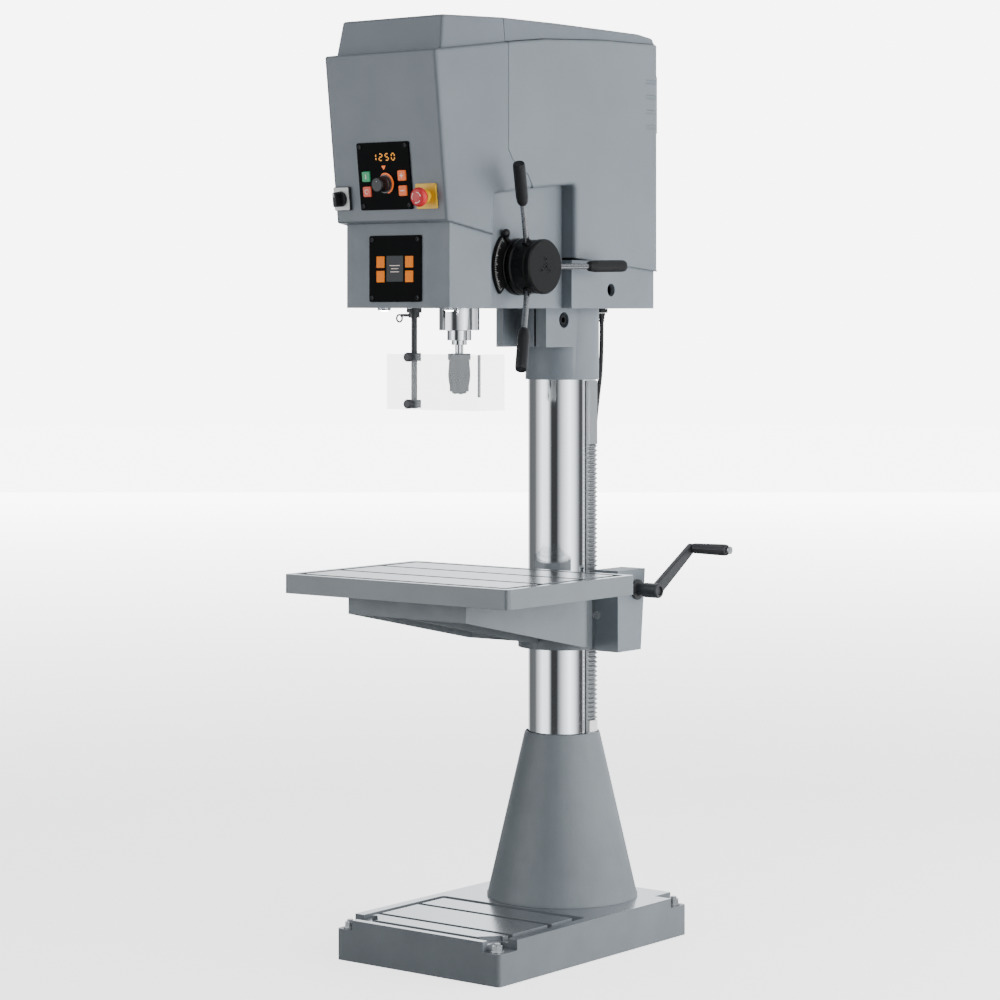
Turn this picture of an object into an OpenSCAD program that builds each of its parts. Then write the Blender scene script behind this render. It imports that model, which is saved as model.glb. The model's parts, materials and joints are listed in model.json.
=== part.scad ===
// Floor-standing column drill press.
// Frame: origin on the column's axis at floor level, +Z up, the operator stands on the -Y side,
// and the feed handles and the table crank are on the +X side. Millimetres.

/* [Base and column] */
// Width of the base plate, left to right
base_w = 409; // [380:1:440]
// Length of the base plate in front of the column's axis
base_front = 471; // [440:1:500]
// Length of the base plate behind the column's axis
base_back = 154; // [150:1:180]
// Height of the base plate
base_h = 82; // [76:1:90]
// Diameter of the column
column_d = 140; // [138:1:142]
// Height of the top of the conical foot
foot_top = 420; // [400:1:440]

/* [Table] */
// Width of the table
table_w = 563; // [480:1:600]
// Depth of the table, front to back
table_l = 406; // [380:1:406]
// Height of the table's top at rest
table_z = 764; // [760:1:768]
// Thickness of the table's edge
table_t = 38; // [34:1:38]

/* [Head] */
// Distance from the column's axis to the spindle's axis
throat = 338; // [336:1:340]
// Half the width of the head's covers
head_w = 141; // [139:1:142]
// Height of the head casting's underside
head_z = 1289.5; // [1289:0.5:1290]
// Angle that the head's front face leans forward
lean = 6.6; // [6:0.1:7]
// Wall thickness of the covers
shell = 4; // [3:0.5:5]

/* [Feed] */
// Diameter of the quill
quill_d = 80; // [79:0.5:80]
// Radius of the circle that the ends of the feed levers run on
lever_r = 229; // [200:1:245]

/* [Lift] */
// Length of the crank's arm between its two axes
crank_l = 149; // [120:1:160]

/* [Mains lead] */
// Diameter of the mains lead
cord_d = 9; // [8:0.5:10]

/* [Hidden] */
$fn = 64;

// Colours
iron = "#7d8488";
side_iron = "#959ca1";
machined = "#c9ccce";
chrome = "#dfe3e6";
steel = "#b4b8bb";
black = "#1c1d1f";
dark = "#3c3f42";

// Running clearance on a radius, and the play between parts that stand next to each other
run = 0.05;
play = 0.3;

// Column, foot and base
column_r = column_d / 2;
column_bottom = 252;
column_top = 1442;
column_wall = 14;
foot_r = 153;
foot_neck_r = 78;
pocket_z = 62;
pocket_x = 40;
pocket_y = 56;
bolt_in = 19;
slot_neck = 14;
slot_foot = 24;
base_slots = [-386, -261];
foot_screw_pcd = 240;

// Table carriage: lift_m is the module of the column rack and its pinion
lift_m = 3;
lift_teeth = 16;
table_y = -throat - 1;
table_slots = [table_y - 65, table_y + 65];
table_under = table_z - table_t;
collar_r = 92;
bracket_w = 148;
bracket_front = -501;
bracket_back = -127;
rack_y = 13;
rack_out = 80.5;
rack_in = column_r + play;
rack_teeth = 60;
rack_top = 1142;
lift_pitch = PI * lift_m;
lift_r = lift_m * lift_teeth / 2;
pinion_x = rack_out - lift_m + lift_r;
worm_y = 48;
worm_r = 14;
worm_m = 2.5;
worm_starts = 2;
wheel_teeth = 30;
wheel_r = worm_m * wheel_teeth / 2;
crank_z = table_z - 48.5;
pinion_z = crank_z - worm_r - wheel_r;
rack_z0 = pinion_z - 23 * lift_pitch;
housing_x0 = 96;
housing_x1 = 155;
housing_y0 = -18.3;
housing_z0 = table_z - 172;
housing_z1 = table_z - 7;
crank_angle = 32;
hub_x0 = 174;
hub_x1 = 212;

// Head
spindle_y = -throat;
nose_w = 129;
recess_w = 104;
recess_y0 = -400;
recess_y1 = -140;
recess_z0 = 1509;
recess_z1 = 1537;
head_back = 151;
front_y = -546;
front_z = 1455;
front_top = 1776.5;
front_top_y = front_y - (front_top - front_z) * tan(lean);
seam_y = -360;
seam_gap = 1;
wall = 10;
quill_r = quill_d / 2;
tube_r = 56;
collar_z0 = 1144;
lug_z0 = 1211;
clamp_y = -79;
clamp_z = 1266;

// Drive
pulley_z = 1664;
pulley_h = 34;
spindle_pulley_r = 90;
motor_pulley_r = 45;
motor_y = 30;
motor_r = 72;
sleeve_r = 20;
spline_r = 12;
spline_top = 1780;

// Feed: feed_m is the module of the quill's rack and its pinion
feed_m = 2;
feed_teeth = 14;
feed_pitch = PI * feed_m;
feed_r = feed_m * feed_teeth / 2;
rack_face = quill_r - 1.5;
feed_y = spindle_y + rack_face - feed_m + feed_r;
feed_z = 1370.5;
hub_r = 56;
cap_r = 54;
hub_x = 108;
cap_x = 176;
cone = 16;
lever_x = 135;
lever_angles = [31, 151, 271];
grip_l = 90;
grip_r = 12;
rod_r = 6;

// Chuck and spindle
quill_z0 = 1246;
quill_z1 = 1520;
nose_z = 1226;
chuck_z0 = 1121;
chuck_z1 = 1200;
jaw_tilt = 12;

// Guard
rod_x = -54;
rod_y = -412;
guard_z0 = 1090.5;
guard_z1 = 1199.5;
guard_w = 116;
guard_y = -422;
guard_back = -341;
guard_t = 3;

// Panels on the leaning front face, in the face's own coordinates (across, up)
panel_x = -6;
panel_v = 88;
panel_side = 130;
key_size = 20;
key_dx = 44.7;
key_v = [88, 59];
dial_v = 73;
estop_at = [94, 47];
switch_at = [-116, 47];
display_z = 1365;

// Mains lead: the routes down to the coil, and from the coil to the plug
cord_route = [
    [22, 108, 1262], [22, 108, 1230], [21, 108, 1190], [18, 109, 1150], [12, 110, 1115],
    [3, 114, 1070], [-10, 122, 1010], [-25, 134, 940], [-38, 145, 860], [-45, 152, 780],
    [-48, 156, 700], [-49, 159, 600], [-49, 162, 500], [-48, 164, 400], [-47, 167, 300],
    [-46, 171, 200], [-46, 176, 120], [-48, 183, 70], [-53, 192, 34], [-62, 203, 13],
    [-76, 216, 6], [-94, 232, 5], [-112, 250, 5], [-128, 272, 5], [-146, 290, 5],
    [-170, 297, 5], [-190, 293, 5]];
coil_at = [-190, 235];
plug_route = [
    [-249, 233, 13.5], [-249, 222, 13.5], [-249, 210, 13.5], [-249, 198, 13], [-249, 186, 11],
    [-249, 174, 9], [-249, 162, 8], [-249, 150, 8]];
plug_at = [-249, 110];
coil_in = 37;
coil_out = 64;
coil_h = 19;

// ---------------------------------------------------------------- helpers

module block(a, b) {
    translate(a) cube(b - a);
}

module x_rod(r, x0, x1, y, z) {
    translate([x0, y, z]) rotate([0, 90, 0]) cylinder(r = r, h = x1 - x0);
}

module y_rod(r, y0, y1, x, z) {
    translate([x, y0, z]) rotate([-90, 0, 0]) cylinder(r = r, h = y1 - y0);
}

module z_rod(r, z0, z1, x = 0, y = 0) {
    translate([x, y, z0]) cylinder(r = r, h = z1 - z0);
}

// Extrudes an outline in (y, z) across x from -w to w
module across(w) {
    rotate([90, 0, 90]) linear_extrude(2 * w, center = true) children();
}

// Rectangle from a to b with rounded corners
module rounded(a, b, r) {
    translate(a + [r, 0]) square([b.x - a.x - 2 * r, b.y - a.y]);
    translate(a + [0, r]) square([b.x - a.x, b.y - a.y - 2 * r]);
    for (x = [a.x + r, b.x - r], y = [a.y + r, b.y - r]) translate([x, y]) circle(r);
}

// Socket head cap screw along -Z, with the underside of its head at the origin
module cap_screw(d, l) {
    difference() {
        cylinder(d = 1.5 * d, h = d);
        translate([0, 0, d / 2]) cylinder(d = 0.9 * d, h = d, $fn = 6);
    }
    translate([0, 0, -l]) cylinder(d = d, h = l + 0.5);
}

// Spur gear outline with a tooth on the +X axis; thin teeth leave backlash
module gear_outline(m, teeth) {
    r = m * teeth / 2;
    step = 360 / teeth;
    polygon([for (i = [0:teeth - 1]) for (p = [
        [r - 1.25 * m, -0.37 * step], [r - 1.25 * m, -0.31 * step], [r, -0.21 * step],
        [r + m, -0.09 * step], [r + m, 0.09 * step], [r, 0.21 * step],
        [r - 1.25 * m, 0.31 * step]])
        p.x * [cos(i * step + p.y), sin(i * step + p.y)]]);
}

// Rack outline: teeth point +X with their tips at x = 0, the back is at x = -back,
// and a gap is centred on y = 0 when shift is 0
module rack_outline(m, teeth, back, shift = 0) {
    p = PI * m;
    polygon(concat(
        [[-back, 0], [-2.25 * m, 0]],
        [for (i = [0:teeth - 1]) for (q = [
            [-2.25 * m, 0.08], [-m, 0.29], [0, 0.40], [0, 0.60], [-m, 0.71], [-2.25 * m, 0.92]])
            [q.x, (i + q.y) * p + shift]],
        [[-2.25 * m, teeth * p + shift], [-back, teeth * p + shift]]));
}

// Places children on the head's leaning front face: x across, y up the face, z outward
module on_front(at = [0, 0]) {
    translate([0, front_y, front_z]) rotate([lean, 0, 0]) rotate([90, 0, 0])
        translate([at.x, at.y, 0]) children();
}

// Places children on the vertical lower front of the head casting
module on_nose(at = [0, 0]) {
    translate([at.x, -527, at.y]) rotate([90, 0, 0]) children();
}

// ---------------------------------------------------------------- base, foot and column

module base_outline() {
    rounded([-base_w / 2, -base_front], [base_w / 2, base_back], 8);
}

module t_slot(y, x0, x1, top) {
    translate([(x0 + x1) / 2, 0, 0]) across((x1 - x0) / 2) {
        translate([y - slot_neck / 2, top - 12]) square([slot_neck, 13]);
        translate([y - slot_foot / 2, top - 21]) square([slot_foot, 9.5]);
    }
}

module bolt_corners() {
    for (x = [-1, 1], y = [-base_front + bolt_in, base_back - bolt_in])
        translate([x * (base_w / 2 - bolt_in), y, 0]) children();
}

module base_slabs() {
    difference() {
        rounded([-182, -456], [182, -165], 10);
        difference() {
            rounded([-165, -440], [165, -185], 4);
            for (s = [-1, 1]) translate([s * 165, -440]) rotate(s * 48) square([46, 62], center = true);
        }
    }
}

module base_plate() {
    x_in = base_w / 2 - 14;
    color(iron) difference() {
        union() {
            linear_extrude(pocket_z) base_outline();
            difference() {
                linear_extrude(base_h) base_outline();
                for (x = [-1, 1]) {
                    translate([x * base_w / 2, -base_front, base_h])
                        cube([2 * pocket_x, 2 * pocket_y, 2 * (base_h - pocket_z)], center = true);
                    translate([x * base_w / 2, base_back, base_h])
                        cube([2 * pocket_x, 2 * pocket_y, 2 * (base_h - pocket_z)], center = true);
                }
            }
        }
        translate([0, 0, base_h - 8]) linear_extrude(9) base_slabs();
        for (y = base_slots) t_slot(y, -174, 174, base_h);
        difference() {
            for (x = [[-x_in, -68], [-58, 58], [68, x_in]],
                y = [[14 - base_front, -330], [-320, -182], [-172, -10], [0, base_back - 14]])
                block([x[0], y[0], -1], [x[1], y[1], 50]);
            bolt_corners() cylinder(r = 26, h = 60);
            z_rod(60, -2, 60);
        }
        bolt_corners() translate([0, 0, -1]) cylinder(d = 12.1, h = 70);
        for (i = [0:5]) rotate(30 + 60 * i)
            z_rod(6.6, 40, base_h + 1, foot_screw_pcd / 2);
    }
}

module levelling_bolts() {
    color(steel) bolt_corners() {
        cylinder(d = 12, h = 79);
        translate([0, 0, pocket_z]) difference() {
            union() {
                cylinder(d = 26, h = 2.5);
                translate([0, 0, 2.5]) cylinder(d = 22, h = 10, $fn = 6);
            }
            translate([0, 0, -1]) cylinder(d = 12.1, h = 20);
        }
    }
}

module column_foot() {
    thick = 13;
    neck = foot_neck_r;
    inner = 84;
    slope = (foot_r - neck) / (foot_top - base_h);
    close_z = base_h + (foot_r - thick - inner) / slope;
    color(iron) difference() {
        rotate_extrude() polygon([
            [105, base_h], [foot_r + 2, base_h], [foot_r + 2, base_h + 5], [foot_r, base_h + 8],
            [neck, foot_top - 4], [neck - 2, foot_top], [column_r + 5, foot_top],
            [column_r + 5, foot_top - 5], [column_r + run, foot_top - 5], [column_r + run, column_bottom],
            [inner, column_bottom], [inner, close_z],
            [foot_r - thick - 22 * slope, base_h + 22], [105, base_h + 22]]);
        for (i = [0:5]) rotate(30 + 60 * i)
            z_rod(6.05, base_h - 1, base_h + 30, foot_screw_pcd / 2);
    }
}

module assembly_screws() {
    color(dark) {
        for (i = [0:5]) rotate(30 + 60 * i)
            translate([foot_screw_pcd / 2, 0, 50 - play]) rotate([180, 0, 0]) cap_screw(12, 48);
        translate([48, clamp_y, clamp_z]) rotate([0, 90, 0]) cap_screw(14, 76);
        for (x = [-1, 1]) translate([x * 118, -505, front_z + shell]) cap_screw(6, 18);
    }
}

module column() {
    color(chrome) difference() {
        z_rod(column_r, column_bottom, column_top);
        z_rod(column_r - column_wall, column_bottom - 1, column_top + 1);
    }
}

// ---------------------------------------------------------------- head casting and covers

module head_plan() {
    translate([-nose_w, -527]) square([2 * nose_w, 527 + 144]);
}

// The recesses on both flanks in which the feed hub and the return spring sit
module flanks(z0, z1, from) {
    for (s = [0, 1]) mirror([s, 0, 0])
        block([from, recess_y0, z0], [nose_w + 20, recess_y1, z1]);
}

module head_casting() {
    nose_top = front_z - play;
    rear_top = 1386;
    color(side_iron) difference() {
        union() {
            // outer walls and bottom plate
            difference() {
                union() {
                    translate([0, 0, head_z]) linear_extrude(rear_top - head_z) head_plan();
                    block([-nose_w, -527, head_z], [nose_w, recess_y0 + 1, nose_top - 26]);
                    block([-nose_w, -527, head_z], [nose_w, recess_y0 - shell - 1, nose_top]);
                    block([-recess_w, recess_y0, head_z], [recess_w, recess_y1 + 1, 1556]);
                }
                block([-nose_w + wall, -517, head_z + 12], [nose_w - wall, recess_y0 - wall, 1600]);
                block([-recess_w + wall, -420, head_z + 12], [recess_w - wall, -100, 1600]);
                block([-nose_w + wall, recess_y1 + wall, head_z + 12], [nose_w - wall, 134, 1600]);
                flanks(head_z - 1, 1600, recess_w);
            }
            // quill tube and its upper bearing neck
            z_rod(tube_r, head_z, 1540, 0, spindle_y);
            z_rod(34, 1540, 1636, 0, spindle_y);
            // column clamp
            z_rod(90, head_z, column_top, 0, 0);
            z_rod(76, collar_z0, head_z + 1, 0, 0);
            block([-64, -139, lug_z0], [64, -35, head_z + 1]);
            block([-9, spindle_y + 50, head_z + 11], [9, -80, 1430]);
            // bosses for the motor plate's pillars and the feed shaft
            for (x = [-1, 1], y = [-70, 126]) z_rod(15, head_z, rear_top, x * 112, y);
            // bosses for the cover's screws
            for (x = [-1, 1]) z_rod(10, nose_top - 26, nose_top, x * 118, -505);
            x_rod(26, -recess_w, recess_w, feed_y, feed_z);
        }
        z_rod(quill_r + run, head_z - 1, 1532, 0, spindle_y);
        z_rod(sleeve_r + run, 1500, 1640, 0, spindle_y);
        z_rod(column_r + run, collar_z0 - 1, column_top + 1);
        // clamp gap, split and screw holes
        block([-46, -140, lug_z0 - 1], [46, -92, head_z - 0.5]);
        block([-2.5, -100, lug_z0 - 1], [2.5, -60, head_z - 0.5]);
        x_rod(7.1, -60, 66, clamp_y, clamp_z);
        x_rod(16, 48, 66, clamp_y, clamp_z);
        // feed shaft bore, and the room that its pinion turns in
        x_rod(12 + run, -recess_w - 1, recess_w + 1, feed_y, feed_z);
        x_rod(feed_r + feed_m + 1.5, -12, 12, feed_y, feed_z);
        for (x = [-1, 1]) z_rod(3.05, nose_top - 22, nose_top + 1, x * 118, -505);
        // cable gland, guard post and lifting hole
        z_rod(8.1, head_z - 1, head_z + 13, 22, 108);
        z_rod(6 + run, head_z - 1, head_z + 13, rod_x, rod_y);
        x_rod(13, 118, 130, -6, 1327);
        // display cut-out
        translate([panel_x + 2, -528, display_z]) cube([96, 40, 96], center = true);
    }
}

module front_profile(t) {
    polygon([
        [front_y + t * 1.06, front_z + t], [front_top_y + t * 1.06, front_top - t],
        [seam_y - seam_gap / 2, 1806 - t], [seam_y - seam_gap / 2, 1596],
        [-346 - seam_gap / 2, 1576], [-298 - seam_gap / 2, 1549], [-280, 1522 + t],
        [recess_y0 - t, recess_z0 + t], [recess_y0 - t, 1431 + t]]);
}

module rear_profile(t) {
    g = seam_gap / 2;
    polygon([
        [seam_y + g, 1806 - t], [-240, 1820 - t], [-43, 1832 - t], [head_back - t, 1836 - t],
        [head_back - t, 1366 + t], [recess_y1 + t, 1390.5 + t], [recess_y1 + t, recess_z1 + t],
        [-278, 1523 + t], [-297, 1550], [-345, 1577], [seam_y + g, 1596.5]]);
}

module front_cover() {
    color(iron) difference() {
        union() {
            difference() {
                across(head_w) front_profile(0);
                across(head_w - shell) union() {
                    front_profile(shell);
                    translate([seam_y - 60, 1596]) square([80, 205 - shell]);
                    translate([-352, 1560]) square([60, 40]);
                }
                block([-118, -545, 1700], [118, -300, 1900]);
            }
        }
        // opening over the nose and the flanks of the casting
        block([-nose_w - play, -527 - play, 1400], [nose_w + play, -270, front_z + 10]);
        block([-recess_w - play, recess_y0 - 30, 1400], [recess_w + play, -250, 1570]);
        on_front([panel_x, panel_v]) cube([110, 110, 40], center = true);
        on_front(switch_at) cylinder(d = 16, h = 20, center = true);
        on_front(estop_at) cylinder(d = 22, h = 20, center = true);
        for (x = [-1, 1]) z_rod(3.3, front_z - 1, front_z + shell + 1, x * 118, -505);
    }
}

module rear_cover() {
    color(side_iron) difference() {
        across(head_w) rear_profile(0);
        across(head_w - shell) union() {
            rear_profile(shell);
            translate([seam_y - 20, 1597]) square([60, 209 - shell]);
            translate([-352, 1578]) square([60, 40]);
        }
        block([-118, -400, 1700], [118, 128, 1900]);
        block([-nose_w - play, -150, 1360], [nose_w + play, 144 + play, 1400]);
        block([-recess_w - play, -380, 1360], [recess_w + play, recess_y1 + 12, 1560]);
        // vent slots round both rear corners
        for (s = [-1, 1], i = [0:3]) translate([s * head_w, head_back, 1664 + 31 * i])
            cube([56, 84, 9], center = true);
    }
}

module lid_profile(t, y0, y1) {
    intersection() {
        polygon([
            [-556 + t, 1781], [-544 + t, 1847 - t], [-366, 1854 - t], [-185, 1856 - t], [90, 1855 - t],
            [144 - t, 1848 - t], [148 - t, 1837], [-43, 1833], [-240, 1821], [-365, 1807]]);
        translate([y0, 1700]) square([y1 - y0, 200]);
    }
}

module lid(y0, y1, inner_y0, inner_y1) {
    color(iron) difference() {
        across(132) lid_profile(0, y0, y1);
        across(132 - shell) translate([inner_y0, 1760]) square([inner_y1 - inner_y0, 86 - shell]);
    }
}

module lid_front() {
    lid(-560, seam_y - seam_gap / 2, -540, seam_y + 1);
}

module lid_rear() {
    lid(seam_y + seam_gap / 2, 160, seam_y - 1, 136);
}

// ---------------------------------------------------------------- controls

module control_panel() {
    color(black) on_front([panel_x, panel_v]) difference() {
        union() {
            translate([-panel_side / 2, -panel_side / 2, play]) cube([panel_side, panel_side, 3]);
            translate([-50, -50, -30]) cube([100, 100, 31]);
        }
        for (k = [-1, 1], v = key_v) translate([k * key_dx, v - panel_v, 3])
            cube([key_size + 0.6, key_size + 0.6, 12], center = true);
        translate([0, dial_v - panel_v, -12]) cylinder(r = 4 + run, h = 20);
    }
}

module display_panel() {
    color(black) on_nose([panel_x + 2, display_z]) {
        translate([-65, -64, play]) cube([130, 128, 3]);
        translate([-47, -47, -22]) cube([94, 94, 22 + play]);
        translate([-46, -26, 3 + play]) cube([92, 52, 0.8]);
    }
}

module panel_screws() {
    color(steel) {
        for (x = [-1, 1], v = [-1, 1]) {
            on_front([panel_x + x * 57, panel_v + v * 57])
                translate([0, 0, 3 + play]) cylinder(d1 = 9, d2 = 6, h = 2.4);
            on_nose([panel_x + 2 + x * 57, display_z + v * 56])
                translate([0, 0, 3 + play]) cylinder(d1 = 9, d2 = 6, h = 2.4);
        }
    }
}

module switch_plates() {
    color("#e8e9e6") on_front(switch_at) difference() {
        union() {
            translate([-20, -23, play]) cube([40, 46, 7]);
            translate([0, 0, -24]) cylinder(d = 15.6, h = 25);
        }
        translate([0, 0, -14]) cylinder(r = 4 + run, h = 30);
    }
    color("#f2c21a") on_front(estop_at) difference() {
        union() {
            translate([-25, -24, play]) cube([50, 48, 3]);
            translate([0, 0, play]) cylinder(r = 13, h = 12);
            translate([0, 0, -30]) cylinder(d = 21.6, h = 31);
        }
        translate([0, 0, -12]) cylinder(r = 8 + run, h = 40);
    }
}

module estop_button() {
    color("#c8202a") on_front(estop_at) {
        translate([0, 0, -6]) cylinder(r = 8, h = 26);
        translate([0, 0, 18]) rotate_extrude()
            polygon([[0, 0], [15, 0], [18.5, 4], [18.5, 9], [15, 14], [8, 16], [0, 16.5]]);
    }
}

module main_switch_knob() {
    color(black) on_front(switch_at) {
        translate([0, 0, -12]) cylinder(r = 4, h = 24);
        translate([0, 0, 7 + 2 * play]) difference() {
            cylinder(r = 15, h = 22);
            for (s = [-1, 1]) translate([s * 14, 0, 15]) cube([18, 40, 18], center = true);
        }
    }
}

module speed_dial() {
    color(dark) on_front([panel_x, dial_v]) {
        translate([0, 0, -10]) cylinder(r = 4, h = 20);
        translate([0, 0, 3 + 2 * play]) cylinder(r = 16, h = 5);
        translate([0, 0, 8]) cylinder(r = 14.5, h = 18);
    }
}

module key(side, row) {
    on_front([panel_x + side * key_dx, key_v[row]])
        translate([-key_size / 2, -key_size / 2, -1.5]) cube([key_size, key_size, 7.3]);
}

module start_key() {
    color("#1f9c5b") key(-1, 0);
}

module stop_key() {
    color("#d8472e") key(-1, 1);
}

module faster_key() {
    color("#f08030") key(1, 0);
}

module slower_key() {
    color("#f08030") key(1, 1);
}

// ---------------------------------------------------------------- drive

module motor() {
    color(dark) translate([0, motor_y, 0]) difference() {
        union() {
            z_rod(motor_r - 4, 1462, 1638);
            z_rod(motor_r, 1466, 1500);
            for (i = [0:17]) rotate(20 * i)
                translate([motor_r - 7, -1.5, 1505]) cube([7, 3, 125]);
            z_rod(54, 1637, 1643);
            block([-26, -motor_r - 12, 1530], [26, -motor_r + 12, 1610]);
        }
        z_rod(9 + run, 1480, 1700);
        z_rod(58, 1461, 1464);
    }
}

module motor_plate() {
    color(iron) translate([0, motor_y - 2, 0]) difference() {
        union() {
            block([-128, -114, 1643 + play], [128, 112, 1655]);
            for (x = [-1, 1], y = [-98, 98]) z_rod(10, 1386, 1644, x * 112, y);
        }
        z_rod(14, 1600, 1700, 0, 2);
        for (i = [0:3]) rotate(45 + 90 * i) z_rod(4.5, 1600, 1700, 48, 0);
    }
}

module motor_pulley() {
    color(steel) translate([0, motor_y, 0]) {
        z_rod(9, 1490, pulley_z + pulley_h + 4);
        z_rod(motor_pulley_r, pulley_z, pulley_z + pulley_h);
        for (z = [pulley_z, pulley_z + pulley_h - 3]) z_rod(motor_pulley_r + 4, z, z + 3);
    }
}

module spindle_pulley() {
    color(steel) translate([0, spindle_y, 0]) difference() {
        union() {
            z_rod(sleeve_r, 1545, pulley_z + pulley_h + 6);
            z_rod(spindle_pulley_r, pulley_z, pulley_z + pulley_h);
            for (z = [pulley_z, pulley_z + pulley_h - 3]) z_rod(spindle_pulley_r + 4, z, z + 3);
        }
        z_rod(spline_r + run, 1540, pulley_z + pulley_h + 7);
        for (i = [0:5]) rotate(60 * i) z_rod(18, pulley_z - 1, pulley_z + pulley_h + 1, 56, 0);
        difference() {
            z_rod(spindle_pulley_r - 12, pulley_z - 1, pulley_z + 10);
            z_rod(30, pulley_z - 2, pulley_z + 11);
        }
    }
}

module drive_belt() {
    t = 5;
    gap = play;
    span = motor_y - spindle_y;
    ra = spindle_pulley_r + gap;
    rb = motor_pulley_r + gap;
    tilt = asin((ra - rb) / span);
    module loop(e) {
        translate([0, spindle_y]) circle(ra + e);
        translate([0, motor_y]) circle(rb + e);
        polygon([for (s = [-1, 1]) for (q = [[ra, spindle_y], [rb, motor_y]])
            let (q2 = s > 0 ? q : [q.x == ra ? rb : ra, q.y == motor_y ? spindle_y : motor_y])
            [s * (q2.x + e) * cos(tilt), q2.y + (q2.x + e) * sin(tilt)]]);
    }
    color(black) translate([0, 0, pulley_z + 5]) linear_extrude(24) difference() {
        loop(t);
        loop(0);
    }
}

module work_lights() {
    color("#f4f6f8") for (x = [-1, 1]) translate([x * 82, -470, 0]) {
        z_rod(13, head_z - 5, head_z - play);
        z_rod(9, head_z - 7, head_z - 4);
    }
}

// ---------------------------------------------------------------- quill, spindle and chuck

module quill() {
    r_in = 26;
    teeth = 26;
    z_low = feed_z - 3 * feed_pitch;
    depth = 2.25 * feed_m;
    color(chrome) translate([0, spindle_y, 0]) {
        difference() {
            z_rod(quill_r, quill_z0, quill_z1);
            z_rod(r_in, quill_z0 - 1, quill_z1 + 1);
            block([-10, rack_face - depth, z_low], [10, quill_r + 1, quill_z1 + 1]);
        }
        translate([0, rack_face, z_low]) rotate([90, 0, 90]) linear_extrude(20, center = true)
            rack_outline(feed_m, teeth, depth + 2);
    }
}

module spindle_bearings() {
    color(steel) translate([0, spindle_y, 0]) for (z = [quill_z0 + 6, quill_z0 + 30, quill_z1 - 22])
        difference() {
            z_rod(26, z, z + 16);
            z_rod(15 + run, z - 1, z + 17);
            difference() {
                z_rod(23, z - 1, z + 3);
                z_rod(18.5, z - 1, z + 3);
            }
        }
}

module spindle() {
    color(chrome) translate([0, spindle_y, 0]) {
        z_rod(15, quill_z0 - 1, quill_z1 + 4);
        z_rod(24, nose_z, quill_z0 - play);
        z_rod(15, nose_z - 9, nose_z + 1);
        z_rod(8.3, chuck_z1 - 30, nose_z);
        z_rod(spline_r, quill_z1, spline_top);
    }
}

module chuck_body() {
    color(steel) translate([0, spindle_y, 0]) difference() {
        union() {
            z_rod(18, chuck_z0 + 3, chuck_z1 - 12);
            z_rod(22.5, chuck_z1 - 13, chuck_z1);
            z_rod(14, chuck_z0, chuck_z0 + 4);
        }
        z_rod(8.3 + run, chuck_z1 - 31, chuck_z1 + 1);
        z_rod(7, chuck_z0 - 1, chuck_z1 - 40);
        for (i = [0:2]) rotate(90 + 120 * i) jaw_line()
            translate([0, 0, -2]) cylinder(r = 3.9, h = 46);
    }
}

// The inclined axis that a jaw slides along, starting at the chuck's nose
module jaw_line() {
    translate([6.5, 0, chuck_z0 - 1]) rotate([0, jaw_tilt, 0]) children();
}

module chuck_sleeve() {
    color("#8d9196") translate([0, spindle_y, 0]) rotate_extrude() difference() {
        translate([0, chuck_z0 + 4 + play]) polygon([
            [0, 0], [16.5, 0], [19, 12], [22, 26], [22, 40], [19.8, 52], [20.5, 61], [0, 61]]);
        translate([-1, 0]) square([19 + run, 3000]);
    }
}

module jaw(i) {
    color(steel) translate([0, spindle_y, 0]) rotate(90 + 120 * i) jaw_line() difference() {
        cylinder(r = 3.5, h = 26);
        rotate([0, -jaw_tilt, 0]) translate([-20 - 2.9, 0, 0]) cube([40, 20, 40], center = true);
    }
}

module chuck_jaw_1() {
    jaw(0);
}

module chuck_jaw_2() {
    jaw(1);
}

module chuck_jaw_3() {
    jaw(2);
}

// ---------------------------------------------------------------- feed

module feed_shaft() {
    color(steel) {
        x_rod(12, -recess_w - 22, -11, feed_y, feed_z);
        x_rod(12, 11, cap_x - 14, feed_y, feed_z);
        x_rod(11, -12, 12, feed_y, feed_z);
        translate([0, feed_y, feed_z]) rotate([90, 0, 90]) rotate(180)
            linear_extrude(19, center = true) gear_outline(feed_m, feed_teeth);
    }
}

module lever_frame(a) {
    translate([0, feed_y, feed_z]) rotate([a, 0, 0]) translate([lever_x, 0, 0])
        rotate([0, cone, 0]) children();
}

module feed_hub() {
    color(black) difference() {
        union() {
            x_rod(hub_r, hub_x + 12, hub_x + 22, feed_y, feed_z);
            x_rod(hub_r - 8, hub_x + 21, cap_x - 12, feed_y, feed_z);
        }
        x_rod(12 + 0.02, hub_x, cap_x, feed_y, feed_z);
        for (a = lever_angles) lever_frame(a) translate([0, 0, 24]) cylinder(r = rod_r + 0.02, h = 60);
    }
}

module hub_cap() {
    color(dark) difference() {
        x_rod(cap_r, cap_x - 11.7, cap_x, feed_y, feed_z);
        x_rod(6, cap_x - 5, cap_x + 1, feed_y, feed_z);
    }
}

module feed_spokes() {
    color(steel) for (a = lever_angles) lever_frame(a)
        translate([0, 0, 24]) cylinder(r = rod_r, h = lever_r / cos(cone) - 24 - 10);
}

module feed_grips() {
    top = lever_r / cos(cone);
    color(black) for (a = lever_angles) lever_frame(a) difference() {
        translate([0, 0, top - grip_l]) rotate_extrude() polygon([
            [0, 0], [grip_r - 2, 0], [grip_r - 0.5, 6], [grip_r, grip_l - 12],
            [grip_r - 2, grip_l - 2], [grip_r - 5, grip_l], [0, grip_l]]);
        translate([0, 0, top - grip_l - 1]) cylinder(r = rod_r + 0.02, h = grip_l - 8);
    }
}

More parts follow.
